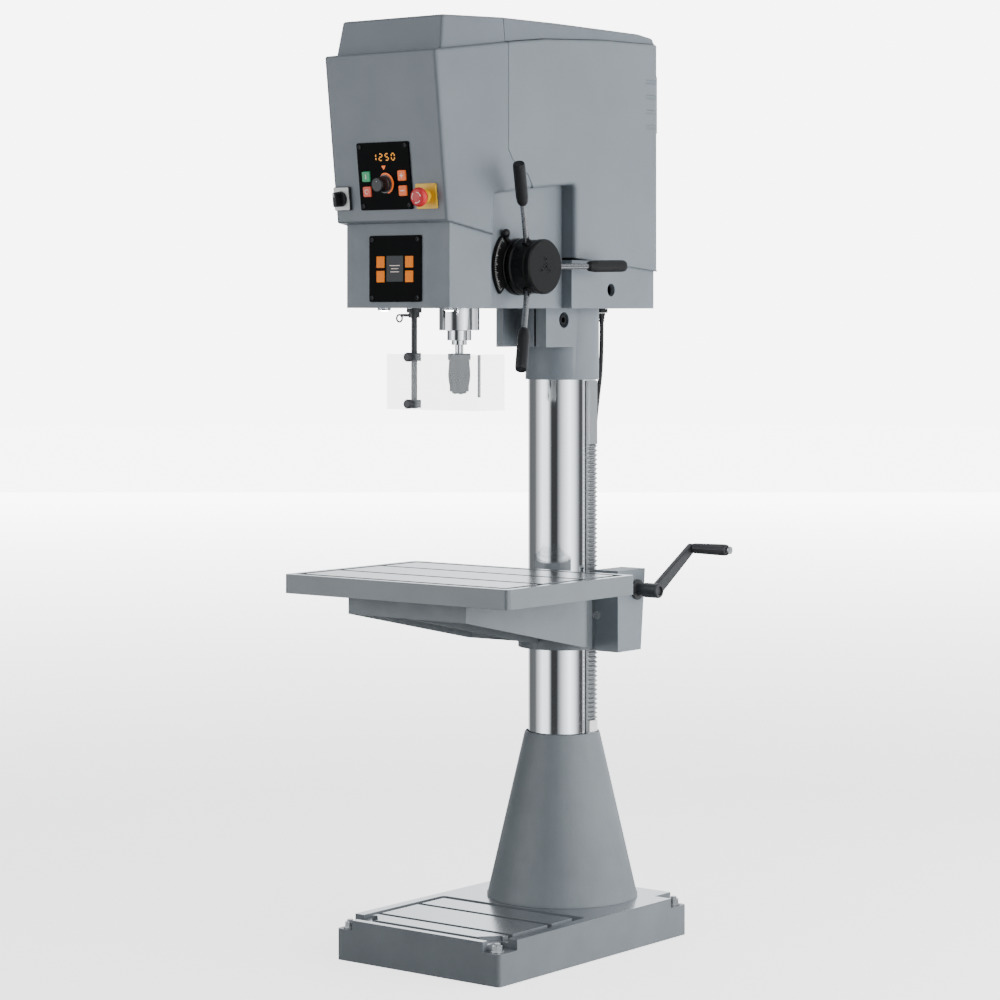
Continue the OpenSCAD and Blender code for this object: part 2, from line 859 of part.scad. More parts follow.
module depth_ring() {
    sector_r = 80;
    color(black) translate([recess_w + play, feed_y, feed_z]) rotate([90, 0, 90]) {
        difference() {
            union() {
                cylinder(r = 56, h = 11);
                linear_extrude(7) intersection() {
                    circle(sector_r);
                    polygon([for (a = [132, 150, 177, 204, 222]) 140 * [cos(a), sin(a)], [0, 0]]);
                }
            }
            translate([0, 0, -1]) cylinder(r = 27, h = 20);
        }
        rotate(125) translate([52, -4, 0]) cube([22, 8, 7]);
        rotate(125) translate([sector_r, 0, 9]) sphere(8.5);
    }
}

module spring_housing() {
    color(black) difference() {
        x_rod(40, -recess_w - 30, -recess_w - play, feed_y, feed_z);
        x_rod(36, -recess_w - 26, -recess_w, feed_y, feed_z);
    }
}

// ---------------------------------------------------------------- chuck guard

module guard_rod() {
    color(dark) {
        z_rod(6, guard_z0 + 2, head_z + 12, rod_x, rod_y);
        z_rod(15, head_z - 9, head_z - play, rod_x, rod_y);
        x_rod(3, rod_x - 34, rod_x, rod_y, head_z - 14);
        z_rod(11, head_z - 19, head_z - 8.5, rod_x, rod_y);
        translate([rod_x - 38, rod_y, head_z - 20]) rotate([90, 0, 0])
            rotate_extrude() translate([7, 0]) circle(1.8);
    }
}

module guard_shield() {
    color([0.85, 0.9, 0.92, 0.35]) difference() {
        union() {
            block([-guard_w, guard_y, guard_z0], [guard_w, guard_y + guard_t, guard_z1]);
            block([guard_w - guard_t, guard_y, guard_z0], [guard_w, guard_back, guard_z1]);
        }
        for (z = [guard_z0 + 11, guard_z1 - 6]) y_rod(3.1, guard_y - 1, guard_y + 5, rod_x, z);
    }
}

module guard_clamps() {
    color(dark) for (z = [guard_z0 + 11, guard_z1 - 6]) {
        difference() {
            block([rod_x - 10, guard_y + guard_t, z - 8], [rod_x + 10, rod_y + 11, z + 8]);
            z_rod(6 + run, z - 10, z + 10, rod_x, rod_y);
        }
        y_rod(3, guard_y - 4, rod_y - 6.2, rod_x, z);
        y_rod(9.5, guard_y - 14, guard_y, rod_x, z);
    }
}

// ---------------------------------------------------------------- table and its lift

module rack() {
    color(steel) difference() {
        translate([rack_out, 0, rack_z0]) rotate([90, 0, 0]) union() {
            linear_extrude(2 * rack_y, center = true)
                rack_outline(lift_m, rack_teeth, rack_out - rack_in, 0);
            translate([rack_in - rack_out, rack_teeth * lift_pitch - 1, -rack_y])
                cube([rack_out - rack_in, rack_top - rack_z0 - rack_teeth * lift_pitch + 1, 2 * rack_y]);
            translate([rack_in - rack_out, foot_top + play - rack_z0, -rack_y])
                cube([rack_out - rack_in - 4, rack_z0 - foot_top, 2 * rack_y]);
        }
        z_rod(column_r + run, foot_top, rack_top + 1);
    }
}

module rack_clip() {
    color("#f0f1f0") block([rack_out - 4 + play, -rack_y, foot_top + 4],
        [rack_out + 0.5, rack_y, rack_z0 - play]);
}

module bracket_plan() {
    polygon([
        [-bracket_w, bracket_front], [bracket_w, bracket_front], [bracket_w, bracket_back],
        [collar_r - 4, -30], [-collar_r + 4, -30], [-bracket_w, bracket_back]]);
}

module table_bracket() {
    top = table_under - play;
    low_front = 690;
    low_back = 612;
    zc = 594;
    color(iron) difference() {
        union() {
            intersection() {
                translate([0, 0, 500]) linear_extrude(300) bracket_plan();
                across(bracket_w + 1) polygon([
                    [bracket_front, top], [bracket_front, low_front], [bracket_back, low_back],
                    [-30, zc + 6], [-30, top]]);
            }
            z_rod(collar_r, zc, top);
            // pad that carries the lift gearbox
            block([60, housing_y0, housing_z0 + 4], [housing_x0 - play, 74, top]);
            // clamp lugs
            block([-122, -22, zc + 30], [-80, 22, zc + 92]);
        }
        // hollow underside
        intersection() {
            translate([0, 0, 500]) linear_extrude(300) difference() {
                polygon([
                    [-bracket_w + 12, bracket_front + 12], [bracket_w - 12, bracket_front + 12],
                    [bracket_w - 12, bracket_back - 4], [collar_r - 4, -44],
                    [-collar_r + 4, -44], [-bracket_w + 12, bracket_back - 4]]);
                circle(collar_r - 1);
                translate([-6, -600]) square([12, 600]);
            }
            block([-200, -520, 500], [200, 0, top - 16]);
        }
        z_rod(column_r + run, zc - 1, top + 1);
        // slot for the rack, and room for the wheel, the pinion and the worm
        block([60, -rack_y - play, zc - 1], [rack_out + 1.2, rack_y + play, top + 1]);
        block([60, -11, pinion_z - 30], [housing_x0, 11, pinion_z + 30]);
        block([60, 37.5, pinion_z - 42], [housing_x0, 58, pinion_z + 42]);
        x_rod(worm_r + 5, 74, housing_x0, worm_y, crank_z);
        x_rod(6 + run, 62, housing_x0, worm_y, crank_z);
        y_rod(9 + play, housing_y0 - 1, 62, pinion_x, pinion_z);
        // clamp split and bolt
        block([-130, -2, zc - 1], [-60, 2, top + 1]);
        y_rod(6 + run, -23, 23, -106, zc + 61);
        // table bolts
        for (x = [-1, 1], y = [-460, -200]) z_rod(6.1, top - 40, top + 1, x * 100, y);
    }
}

module table() {
    color(machined) difference() {
        union() {
            translate([0, table_y, table_under]) linear_extrude(table_t)
                rounded([-table_w / 2, -table_l / 2], [table_w / 2, table_l / 2], 10);
        }
        // coolant channel round the edge
        translate([0, table_y, table_z - 6]) linear_extrude(7) difference() {
            rounded([-table_w / 2 + 14, -table_l / 2 + 14], [table_w / 2 - 14, table_l / 2 - 14], 12);
            rounded([-table_w / 2 + 30, -table_l / 2 + 30], [table_w / 2 - 30, table_l / 2 - 30], 5);
        }
        for (y = table_slots) t_slot(y, -table_w / 2 + 22, table_w / 2 - 22, table_z);
        for (x = [-1, 1], y = [-460, -200]) z_rod(6.1, table_under - 1, table_under + 22, x * 100, y);
    }
}

module table_bolts() {
    color(dark) for (x = [-1, 1], y = [-460, -200])
        translate([x * 100, y, table_under - 16.4]) rotate([180, 0, 0]) cap_screw(12, 32);
}

module housing_outline(e) {
    polygon([
        [housing_y0 + e, housing_z0 + e], [62 - e, housing_z0 + e],
        [77 - e, housing_z1 - e], [housing_y0 + e, housing_z1 - e]]);
}

module lift_housing() {
    w = 6.8;
    color(side_iron) difference() {
        translate([housing_x0, 0, 0]) rotate([90, 0, 90]) linear_extrude(housing_x1 - housing_x0)
            housing_outline(0);
        translate([housing_x0 - 1, 0, 0]) rotate([90, 0, 90])
            linear_extrude(housing_x1 - housing_x0 - 7) housing_outline(w);
        y_rod(9 + run, housing_y0 - 1, 90, pinion_x, pinion_z);
        x_rod(9 + run, 140, 160, worm_y, crank_z);
    }
}

// Trapezoidal worm thread swept along a helix, one solid per start
module worm_thread(start) {
    turns = 3;
    n = 24;
    lead = PI * worm_m * worm_starts;
    root = worm_r - 1.6 * worm_m;
    tip = worm_r + worm_m;
    section = [[root, -2.6], [tip, -0.8], [tip, 0.8], [root, 2.6]];
    rings = [for (i = [0:turns * n]) let (a = 360 * i / n + 360 * start / worm_starts)
        [for (q = section) [q.x * cos(a), q.x * sin(a), q.y + lead * (i / n - turns / 2)]]];
    last = turns * n;
    polyhedron(
        points = [for (ring = rings) each ring],
        faces = concat(
            [[2, 1, 0], [3, 2, 0]],
            [for (i = [0:last - 1], j = [0:3]) let (k = (j + 1) % 4)
                each [[4 * i + j, 4 * i + 4 + k, 4 * i + 4 + j], [4 * i + j, 4 * i + k, 4 * i + 4 + k]]],
            [[4 * last, 4 * last + 1, 4 * last + 2], [4 * last, 4 * last + 2, 4 * last + 3]]));
}

module worm_shaft() {
    color(steel) {
        x_rod(6, 63, 80, worm_y, crank_z);
        x_rod(9, pinion_x - 26, hub_x1 - 12, worm_y, crank_z);
        x_rod(worm_r - 1.2 * worm_m, pinion_x - 26, pinion_x + 26, worm_y, crank_z);
        translate([pinion_x, worm_y, crank_z]) rotate([0, 90, 0])
            for (s = [0:worm_starts - 1]) worm_thread(s);
    }
}

module lift_pinion() {
    color(steel) {
        y_rod(9, housing_y0 + 2, 60, pinion_x, pinion_z);
        translate([pinion_x, 0, pinion_z]) rotate([90, 0, 0]) rotate(180)
            linear_extrude(20, center = true) gear_outline(lift_m, lift_teeth);
        translate([pinion_x, worm_y, pinion_z]) rotate([90, 0, 0])
            rotate(90 + 180 / wheel_teeth) linear_extrude(8, center = true)
                gear_outline(worm_m, wheel_teeth);
    }
}

module crank_arm() {
    color(dark) {
        difference() {
            union() {
                x_rod(21, housing_x1 + play, housing_x1 + 5, worm_y, crank_z);
                x_rod(12, housing_x1 + 4, hub_x0 + 1, worm_y, crank_z);
                x_rod(15, hub_x0, hub_x1, worm_y, crank_z);
            }
            x_rod(9.02, 100, hub_x1 - 11, worm_y, crank_z);
        }
        translate([0, worm_y, crank_z]) rotate([crank_angle, 0, 0]) {
            translate([hub_x1 - 16, 0, 0]) rotate([90, 0, 90]) linear_extrude(12) difference() {
                union() {
                    polygon([[0, -12], [crank_l, -8], [crank_l, 8], [0, 12]]);
                    circle(12);
                    translate([crank_l, 0]) circle(9.5);
                }
                circle(11);
            }
            x_rod(5, hub_x1 - 5, hub_x1 + 86, crank_l, 0);
            x_rod(8, hub_x1 + 85, hub_x1 + 89, crank_l, 0);
        }
    }
}

module crank_grip() {
    color(dark) translate([0, worm_y, crank_z]) rotate([crank_angle, 0, 0])
        translate([hub_x1 - 4 + play, crank_l, 0]) rotate([0, 90, 0]) rotate_extrude() polygon([
            [5 + run, 0], [10, 0], [11, 6], [12, 76], [11, 84], [8 + play, 88], [8 + play, 87],
            [5 + run, 87]]);
}

module table_clamp_lever() {
    z = 655;
    color(dark) {
        y_rod(6, -25, 24, -106, z);
        y_rod(11, 22 + play, 30, -106, z);
        y_rod(12, -38, -22 - play, -106, z);
        translate([-106, -34, z]) rotate([0, -60, 0]) translate([0, 0, 6]) cylinder(r1 = 6, r2 = 5, h = 64);
        translate([-106, -34, z]) rotate([0, -60, 0]) translate([0, 0, 74]) sphere(9);
    }
}

// ---------------------------------------------------------------- mains lead

// Unit direction of a route at point i
function heading(p, i) =
    let (d = p[min(i + 1, len(p) - 1)] - p[max(i - 1, 0)]) d / norm(d);

// A tube swept along the points p, with rings that stand square to the route
module swept(p, r, sides = 8) {
    side_of = [for (i = [0:len(p) - 1]) let (h = heading(p, i), s = cross(h, [0.31, 0.95, 0.05]))
        s / norm(s)];
    points = [for (i = [0:len(p) - 1]) let (h = heading(p, i), u = side_of[i], v = cross(h, u))
        for (k = [0:sides - 1]) p[i] + r * (cos(360 * k / sides) * u + sin(360 * k / sides) * v)];
    last = len(p) - 1;
    polyhedron(points = points, faces = concat(
        [[for (k = [sides - 1:-1:0]) k]],
        [for (i = [0:last - 1], k = [0:sides - 1]) let (n = (k + 1) % sides)
            each [[i * sides + k, i * sides + n, (i + 1) * sides + n],
                [i * sides + k, (i + 1) * sides + n, (i + 1) * sides + k]]],
        [[for (k = [0:sides - 1]) last * sides + k]]));
}

module cable_gland() {
    color(black) translate([22, 108, 0]) difference() {
        union() {
            z_rod(8, head_z - 1, head_z + 16);
            z_rod(13, head_z - 9, head_z - play);
            translate([0, 0, 1262]) cylinder(r1 = 6, r2 = 9, h = 19);
        }
        z_rod(3, 1261, 1320);
    }
}

module power_cord() {
    color(black) {
        swept(cord_route, cord_d / 2);
        swept(plug_route, cord_d / 2);
    }
}

module cord_coil() {
    color(black) translate([coil_at.x, coil_at.y, 0]) rotate_extrude()
        translate([coil_in, 0]) square([coil_out - coil_in, coil_h]);
}

module plug() {
    color(black) translate([plug_at.x, plug_at.y, 0]) rotate(-90) {
        translate([-24, -18, 0]) cube([48, 36, 30]);
        for (y = [-9.5, 9.5]) translate([23, y, 15]) rotate([0, 90, 0]) cylinder(r = 2.4, h = 19.5);
        translate([-40, 0, 8]) rotate([0, 90, 0]) cylinder(r1 = 5.5, r2 = 8, h = 17);
    }
}

// ---------------------------------------------------------------- assembly

base_plate();
levelling_bolts();
column_foot();
assembly_screws();
column();
head_casting();
front_cover();
rear_cover();
lid_front();
lid_rear();
control_panel();
display_panel();
panel_screws();
switch_plates();
motor();
motor_plate();
drive_belt();
work_lights();
spring_housing();
cable_gland();
power_cord();
cord_coil();
plug();
rack();
rack_clip();
table_bracket();
table();
table_bolts();
lift_housing();
worm_shaft();
crank_arm();
crank_grip();
lift_pinion();
table_clamp_lever();
feed_shaft();
feed_hub();
hub_cap();
feed_spokes();
feed_grips();
depth_ring();
quill();
spindle_bearings();
spindle();
chuck_body();
chuck_sleeve();
chuck_jaw_1();
chuck_jaw_2();
chuck_jaw_3();
spindle_pulley();
motor_pulley();
guard_rod();
guard_shield();
guard_clamps();
estop_button();
main_switch_knob();
speed_dial();
start_key();
stop_key();
faster_key();
slower_key();
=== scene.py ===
"""Looks of a floor-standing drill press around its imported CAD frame. Pieces are drawn in millimetres."""
import json
from math import cos, pi, radians, sin, tan

import bmesh
import bpy
from mathutils import Matrix, Vector


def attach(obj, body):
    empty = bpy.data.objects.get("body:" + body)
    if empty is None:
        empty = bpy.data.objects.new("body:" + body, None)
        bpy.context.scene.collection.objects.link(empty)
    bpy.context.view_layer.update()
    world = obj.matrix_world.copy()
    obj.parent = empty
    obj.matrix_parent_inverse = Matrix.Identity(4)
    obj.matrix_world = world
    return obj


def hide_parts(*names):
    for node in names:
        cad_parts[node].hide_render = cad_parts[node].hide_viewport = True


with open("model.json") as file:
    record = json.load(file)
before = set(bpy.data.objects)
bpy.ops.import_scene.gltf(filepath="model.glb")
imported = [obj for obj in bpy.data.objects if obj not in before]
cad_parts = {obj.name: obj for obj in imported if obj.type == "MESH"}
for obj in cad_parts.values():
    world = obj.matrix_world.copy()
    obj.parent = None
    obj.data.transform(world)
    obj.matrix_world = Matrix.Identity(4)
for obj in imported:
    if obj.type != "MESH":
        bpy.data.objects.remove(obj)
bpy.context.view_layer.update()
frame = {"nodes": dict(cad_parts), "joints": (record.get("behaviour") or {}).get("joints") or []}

nodes = frame["nodes"]
MM = 0.001
BLACK, WHITE = (0, 0, 0, 1), (1, 1, 1, 1)
at = Matrix.Translation


def spin(degrees, axis="Z"):
    return Matrix.Rotation(radians(degrees), 4, axis)


TURN_X, TURN_Y, TURN_Z = spin(90, "X"), spin(90, "Y"), spin(90)

# -------------------- camera, stage and light

AZIMUTH = radians(38.12)
CAMERA_AT = (3.6735, -4.8894, 1.2723)
LENS, SENSOR, SHIFT_UP = 106.69, 36, -0.1831
TOWARDS_CAMERA = Vector((sin(AZIMUTH), -cos(AZIMUTH), 0))
TO_THE_RIGHT = Vector((cos(AZIMUTH), sin(AZIMUTH), 0))

# Name, angle from the camera's direction, distance, height, height aimed at, width, tallness and power
LIGHTS = [("key", 62, 3.0, 1.1, 1.0, 3.0, 2.4, 190), ("fill", -66, 3.0, 1.2, 1.0, 2.6, 2.4, 44),
          ("low", 98, 2.6, 0.6, 0.4, 1.6, 1.1, 34), ("back", 180, 15.0, 3.0, 1.0, 14.0, 6.0, 1300)]
TOP_LIGHT_AT, TOP_LIGHT_AIM, TOP_LIGHT_SIZE, TOP_LIGHT_POWER = (0.4, -0.6, 4.2), (0, 0, 1.2), 2.4, 25
WORLD_LIGHT, BACKDROP_LIGHT, FLOOR_LIGHT = 0.3, 7.0, 2.2
BACKDROP_R, FLOOR_R, NEAR_R, FAR_R = 30, 29, 2, 14
RING_R, RING_H, RING_MIDDLE = 2.6, 5, 2.0

# What polished metal sees round it: the angle from the camera's direction, and how bright it is there
SURROUND = [(-180, 2.4), (-160, 1.6), (-140, 0.17), (-104, 0.2), (-86, 1.2), (-72, 2.7), (-52, 2.5),
            (-42, 0.5), (-37, 0.06), (-19, 0.06), (-11, 0.5), (10, 2.1), (24, 3.4), (38, 2.2), (52, 0.6),
            (60, 0.1), (70, 0.1), (76, 1.6), (110, 0.9), (150, 1.6), (180, 2.4)]
SURROUND_TINT = (0.92, 0.96, 1)


def link(obj):
    bpy.context.scene.collection.objects.link(obj)
    return obj


def add_camera():
    data = bpy.data.cameras.new("camera")
    data.lens = LENS
    data.sensor_width = SENSOR
    data.shift_y = SHIFT_UP
    data.clip_end = 100
    camera = link(bpy.data.objects.new("camera", data))
    camera.location = CAMERA_AT
    camera.rotation_euler = (pi / 2, 0, AZIMUTH)
    bpy.context.scene.camera = camera


def around(angle, distance, height):
    """A point round the column, angle degrees to the right of the camera's direction."""
    a = radians(angle)
    flat = TOWARDS_CAMERA * cos(a) + TO_THE_RIGHT * sin(a)
    return flat * distance + Vector((0, 0, height))


def area_light(name, place, target, width, tall, power):
    data = bpy.data.lights.new(name, "AREA")
    data.shape = "RECTANGLE"
    data.size = width
    data.size_y = tall
    data.energy = power
    light = link(bpy.data.objects.new(name, data))
    light.location = place
    light.visible_camera = False
    light.visible_glossy = False
    light.rotation_euler = (Vector(target) - light.location).to_track_quat("-Z", "Y").to_euler()


def add_lights():
    for name, angle, distance, height, aimed, width, tall, power in LIGHTS:
        area_light(name, around(angle, distance, height), (0, 0, aimed), width, tall, power)
    area_light("top", TOP_LIGHT_AT, TOP_LIGHT_AIM, TOP_LIGHT_SIZE, TOP_LIGHT_SIZE, TOP_LIGHT_POWER)


def set_piece(bm, name, material, **seen_by):
    """A piece of the set round the object. seen_by names the kinds of ray that do or don't meet it."""
    mesh = bpy.data.meshes.new(name)
    bm.to_mesh(mesh)
    bm.free()
    mesh.materials.append(material)
    obj = link(bpy.data.objects.new(name, mesh))
    for kind, seen in seen_by.items():
        setattr(obj, "visible_" + kind, seen)
    return obj


def surround_material():
    g = Graph("surround_cards")
    split = g.node("ShaderNodeSeparateXYZ")
    g.join(g.place, split.inputs["Vector"])
    angle = g.node("ShaderNodeMath", operation="ARCTAN2")
    g.join(split.outputs["Y"], angle.inputs[0])
    g.join(split.outputs["X"], angle.inputs[1])
    ramp = g.node("ShaderNodeValToRGB")
    g.join(g.spread(angle.outputs[0], 0, 1, -pi, pi), ramp.inputs["Fac"])
    brightest = max(value for _, value in SURROUND)
    stops = ramp.color_ramp.elements
    while len(stops) < len(SURROUND):
        stops.new(0.5)
    for stop, (degrees, _) in zip(stops, SURROUND):
        stop.position = (degrees + 180) / 360
    for stop, (_, value) in zip(stops, SURROUND):
        stop.color = (*shade(SURROUND_TINT, value / brightest), 1)
    g.into("Emission Color", ramp.outputs["Color"])
    return g.done(Base_Color=BLACK, Specular_IOR_Level=0, Emission_Strength=brightest)


def add_surround():
    """A ring of light and dark cards that only reflections see, so that polished metal has its bands."""
    bm = bmesh.new()
    bmesh.ops.create_cone(bm, cap_ends=False, segments=96, radius1=RING_R, radius2=RING_R, depth=RING_H,
                          matrix=at((0, 0, RING_MIDDLE)))
    ring = set_piece(bm, "surround", surround_material(), camera=False, diffuse=False, shadow=False,
                     transmission=False)
    ring.rotation_euler.z = AZIMUTH - pi / 2


def add_floor():
    """The floor that the camera sees is luminous, more so far away, where it meets the backdrop. A second
    one under it throws the lights back onto the object."""
    for name, height, seen in (("floor", 0, True), ("floor_bounce", -0.002, False)):
        bm = bmesh.new()
        bmesh.ops.create_circle(bm, cap_ends=True, segments=96, radius=FLOOR_R, matrix=at((0, 0, height)))
        g = Graph(name + "_paper")
        if seen:
            away = g.node("ShaderNodeVectorMath", operation="LENGTH")
            g.join(g.place, away.inputs[0])
            light = g.spread(away.outputs["Value"], FLOOR_LIGHT, BACKDROP_LIGHT, NEAR_R, FAR_R)
            g.into("Emission Strength", light)
        paper = g.done(Base_Color=(0.72, 0.725, 0.73, 1), Roughness=0.9, Emission_Color=WHITE)
        set_piece(bm, name, paper, camera=seen, transmission=seen, diffuse=not seen, glossy=not seen)


def add_world():
    world = bpy.data.worlds.new("studio")
    bpy.context.scene.world = world
    world.use_nodes = True
    shader = world.node_tree.nodes["Background"]
    shader.inputs["Color"].default_value = (0.88, 0.94, 1, 1)
    shader.inputs["Strength"].default_value = WORLD_LIGHT


def add_backdrop():
    """A white dome behind everything that only the camera and clear sheets see, so it lights nothing."""
    bm = bmesh.new()
    bmesh.ops.create_uvsphere(bm, u_segments=48, v_segments=24, radius=BACKDROP_R)
    white = Graph("backdrop_white").done(Base_Color=BLACK, Roughness=1, Specular_IOR_Level=0,
                                         Emission_Color=WHITE, Emission_Strength=BACKDROP_LIGHT)
    set_piece(bm, "backdrop", white, diffuse=False, glossy=False, shadow=False)


# -------------------- materials

materials = {}


class Graph:
    """A material's node tree, with short calls for the nodes that every material here uses."""

    def __init__(self, name):
        self.name = name
        self.mat = bpy.data.materials.new(name)
        self.mat.use_nodes = True
        self.tree = self.mat.node_tree
        self.shader = self.tree.nodes["Principled BSDF"]
        self.place = self.tree.nodes.new("ShaderNodeTexCoord").outputs["Object"]

    def join(self, out, into):
        self.tree.links.new(out, into)

    def into(self, name, out):
        """Joins an output to the shader's input of that name."""
        self.join(out, self.shader.inputs[name])

    def node(self, kind, **values):
        made = self.tree.nodes.new(kind)
        for key, value in values.items():
            if key in made.inputs:
                made.inputs[key].default_value = value
            else:
                setattr(made, key, value)
        return made

    def noise(self, scale, detail=3, stretch=(1, 1, 1)):
        """Noise of about 1 / scale metres, stretched along the axes."""
        mapping = self.node("ShaderNodeMapping")
        mapping.inputs["Scale"].default_value = stretch
        self.join(self.place, mapping.inputs["Vector"])
        noise = self.node("ShaderNodeTexNoise", Scale=scale, Detail=detail)
        self.join(mapping.outputs["Vector"], noise.inputs["Vector"])
        return noise.outputs["Fac"]

    def spread(self, value, low, high, frm=0.3, to=0.7):
        """value from frm..to becomes low..high."""
        ranged = self.node("ShaderNodeMapRange")
        for key, number in (("From Min", frm), ("From Max", to), ("To Min", low), ("To Max", high)):
            ranged.inputs[key].default_value = number
        self.join(value, ranged.inputs["Value"])
        return ranged.outputs["Result"]

    def mix(self, factor, first, second):
        """A colour between two, each a colour or an output."""
        mixed = self.node("ShaderNodeMix", data_type="RGBA")
        for key, value in (("A", first), ("B", second)):
            socket = next(s for s in mixed.inputs if s.name == key and s.type == "RGBA")
            if isinstance(value, (tuple, list)):
                socket.default_value = (*value, 1)
            else:
                self.join(value, socket)
        self.join(factor, mixed.inputs["Factor"])
        return next(s for s in mixed.outputs if s.type == "RGBA")

    def bump(self, value, strength, depth):
        bumped = self.node("ShaderNodeBump", Strength=strength, Distance=depth)
        self.join(value, bumped.inputs["Height"])
        if self.shader.inputs["Normal"].is_linked:
            self.join(self.shader.inputs["Normal"].links[0].from_socket, bumped.inputs["Normal"])
        self.into("Normal", bumped.outputs["Normal"])

    def done(self, **fixed):
        for key, value in fixed.items():
            self.shader.inputs[key.replace("_", " ")].default_value = value
        materials[self.name] = self.mat
        return self.mat


def shade(colour, factor):
    return tuple(min(1, c * factor) for c in colour)


def worn(graph, colour, amount=0.06, scale=6):
    """Colour with faint large-scale blotches and fine speckle."""
    low, high = shade(colour, 1 - amount), shade(colour, 1 + amount)
    broad = graph.spread(graph.noise(scale, 4), 0, 1)
    base = graph.mix(broad, low, high)
    speck = graph.spread(graph.noise(900, 2), 0, 0.5, 0.55, 0.75)
    return graph.mix(speck, base, shade(colour, 0.82))


def paint(name, colour, roughness=0.42, peel=0.12):
    g = Graph(name)
    g.into("Base Color", worn(g, colour))
    g.into("Roughness", g.spread(g.noise(14, 4), roughness - 0.04, roughness + 0.06))
    g.bump(g.noise(420, 2), peel, 0.0004)
    g.bump(g.noise(60, 2), peel * 0.5, 0.0006)
    return g.done(Coat_Weight=0.12, Coat_Roughness=0.3)


def casting(name, colour):
    """Painted cast iron: the sand's grain shows through the paint."""
    g = Graph(name)
    g.into("Base Color", worn(g, colour, 0.07, 9))
    g.into("Roughness", g.spread(g.noise(30, 4), 0.42, 0.58))
    g.bump(g.noise(260, 4), 0.22, 0.0006)
    g.bump(g.noise(38, 3), 0.25, 0.0012)
    return g.done(Coat_Weight=0.08, Coat_Roughness=0.35)


def metal(name, colour, roughness=0.25, grain=(1, 1, 1), strength=0.08, scale=700):
    """Machined metal with its tool's marks drawn out along the small axes of grain."""
    g = Graph(name)
    marks = g.noise(scale, 5, grain)
    g.into("Base Color", g.mix(g.spread(marks, 0, 1), shade(colour, 0.9), shade(colour, 1.06)))
    g.into("Roughness", g.spread(marks, roughness * 0.8, roughness * 1.25))
    g.bump(marks, strength, 0.0002)
    return g.done(Metallic=1)


def plastic(name, colour, roughness=0.45, grain=0.15, emission=0.0, specular=0.5):
    g = Graph(name)
    g.into("Base Color", worn(g, colour, 0.05, 20))
    g.into("Roughness", g.spread(g.noise(40, 3), roughness - 0.05, roughness + 0.05))
    g.bump(g.noise(1500, 2), grain, 0.0002)
    # emission makes the plastic glow in its own colour: real light for the readout and the lamps, painted
    # light for the keys, print and glyphs.
    if emission:
        return g.done(Emission_Color=(*colour, 1), Emission_Strength=emission, Specular_IOR_Level=specular)
    return g.done(Specular_IOR_Level=specular)


def clear_sheet(name, colour):
    """A thin clear sheet, which dims and reflects but doesn't bend what is behind it."""
    g = Graph(name)
    haze = g.noise(5, 4)
    g.into("Base Color", g.mix(g.spread(haze, 0, 1), colour, shade(colour, 0.97)))
    g.into("Roughness", g.spread(haze, 0.06, 0.1))
    g.bump(g.noise(3, 2), 0.05, 0.0002)
    return g.done(Alpha=0.22)


def part_machined(name, colour, above):
    """Painted casting whose level faces from the height above upwards are milled bright along X."""
    g = Graph(name)
    painted = worn(g, colour, 0.07, 9)
    marks = g.noise(500, 3, (0.06, 1, 1))
    milled = g.mix(g.spread(marks, 0, 1), (0.56, 0.57, 0.585), (0.62, 0.63, 0.645))
    split = g.node("ShaderNodeSeparateXYZ")
    g.join(g.place, split.inputs["Vector"])
    height = g.spread(split.outputs["Z"], 0, 1, above, above + 0.0004)
    facing = g.node("ShaderNodeSeparateXYZ")
    geometry = g.node("ShaderNodeNewGeometry")
    g.join(geometry.outputs["Normal"], facing.inputs["Vector"])
    upward = g.spread(facing.outputs["Z"], 0, 1, 0.8, 0.9)
    both = g.node("ShaderNodeMath", operation="MULTIPLY")
    g.join(height, both.inputs[0])
    g.join(upward, both.inputs[1])
    mask = both.outputs[0]
    g.into("Base Color", g.mix(mask, painted, milled))
    g.into("Metallic", mask)
    g.into("Roughness", g.spread(marks, 0.17, 0.22))
    g.bump(g.noise(240, 4), 0.16, 0.0005)
    return g.done()


GREY = (0.124, 0.143, 0.161)
PALE = (0.138, 0.159, 0.178)


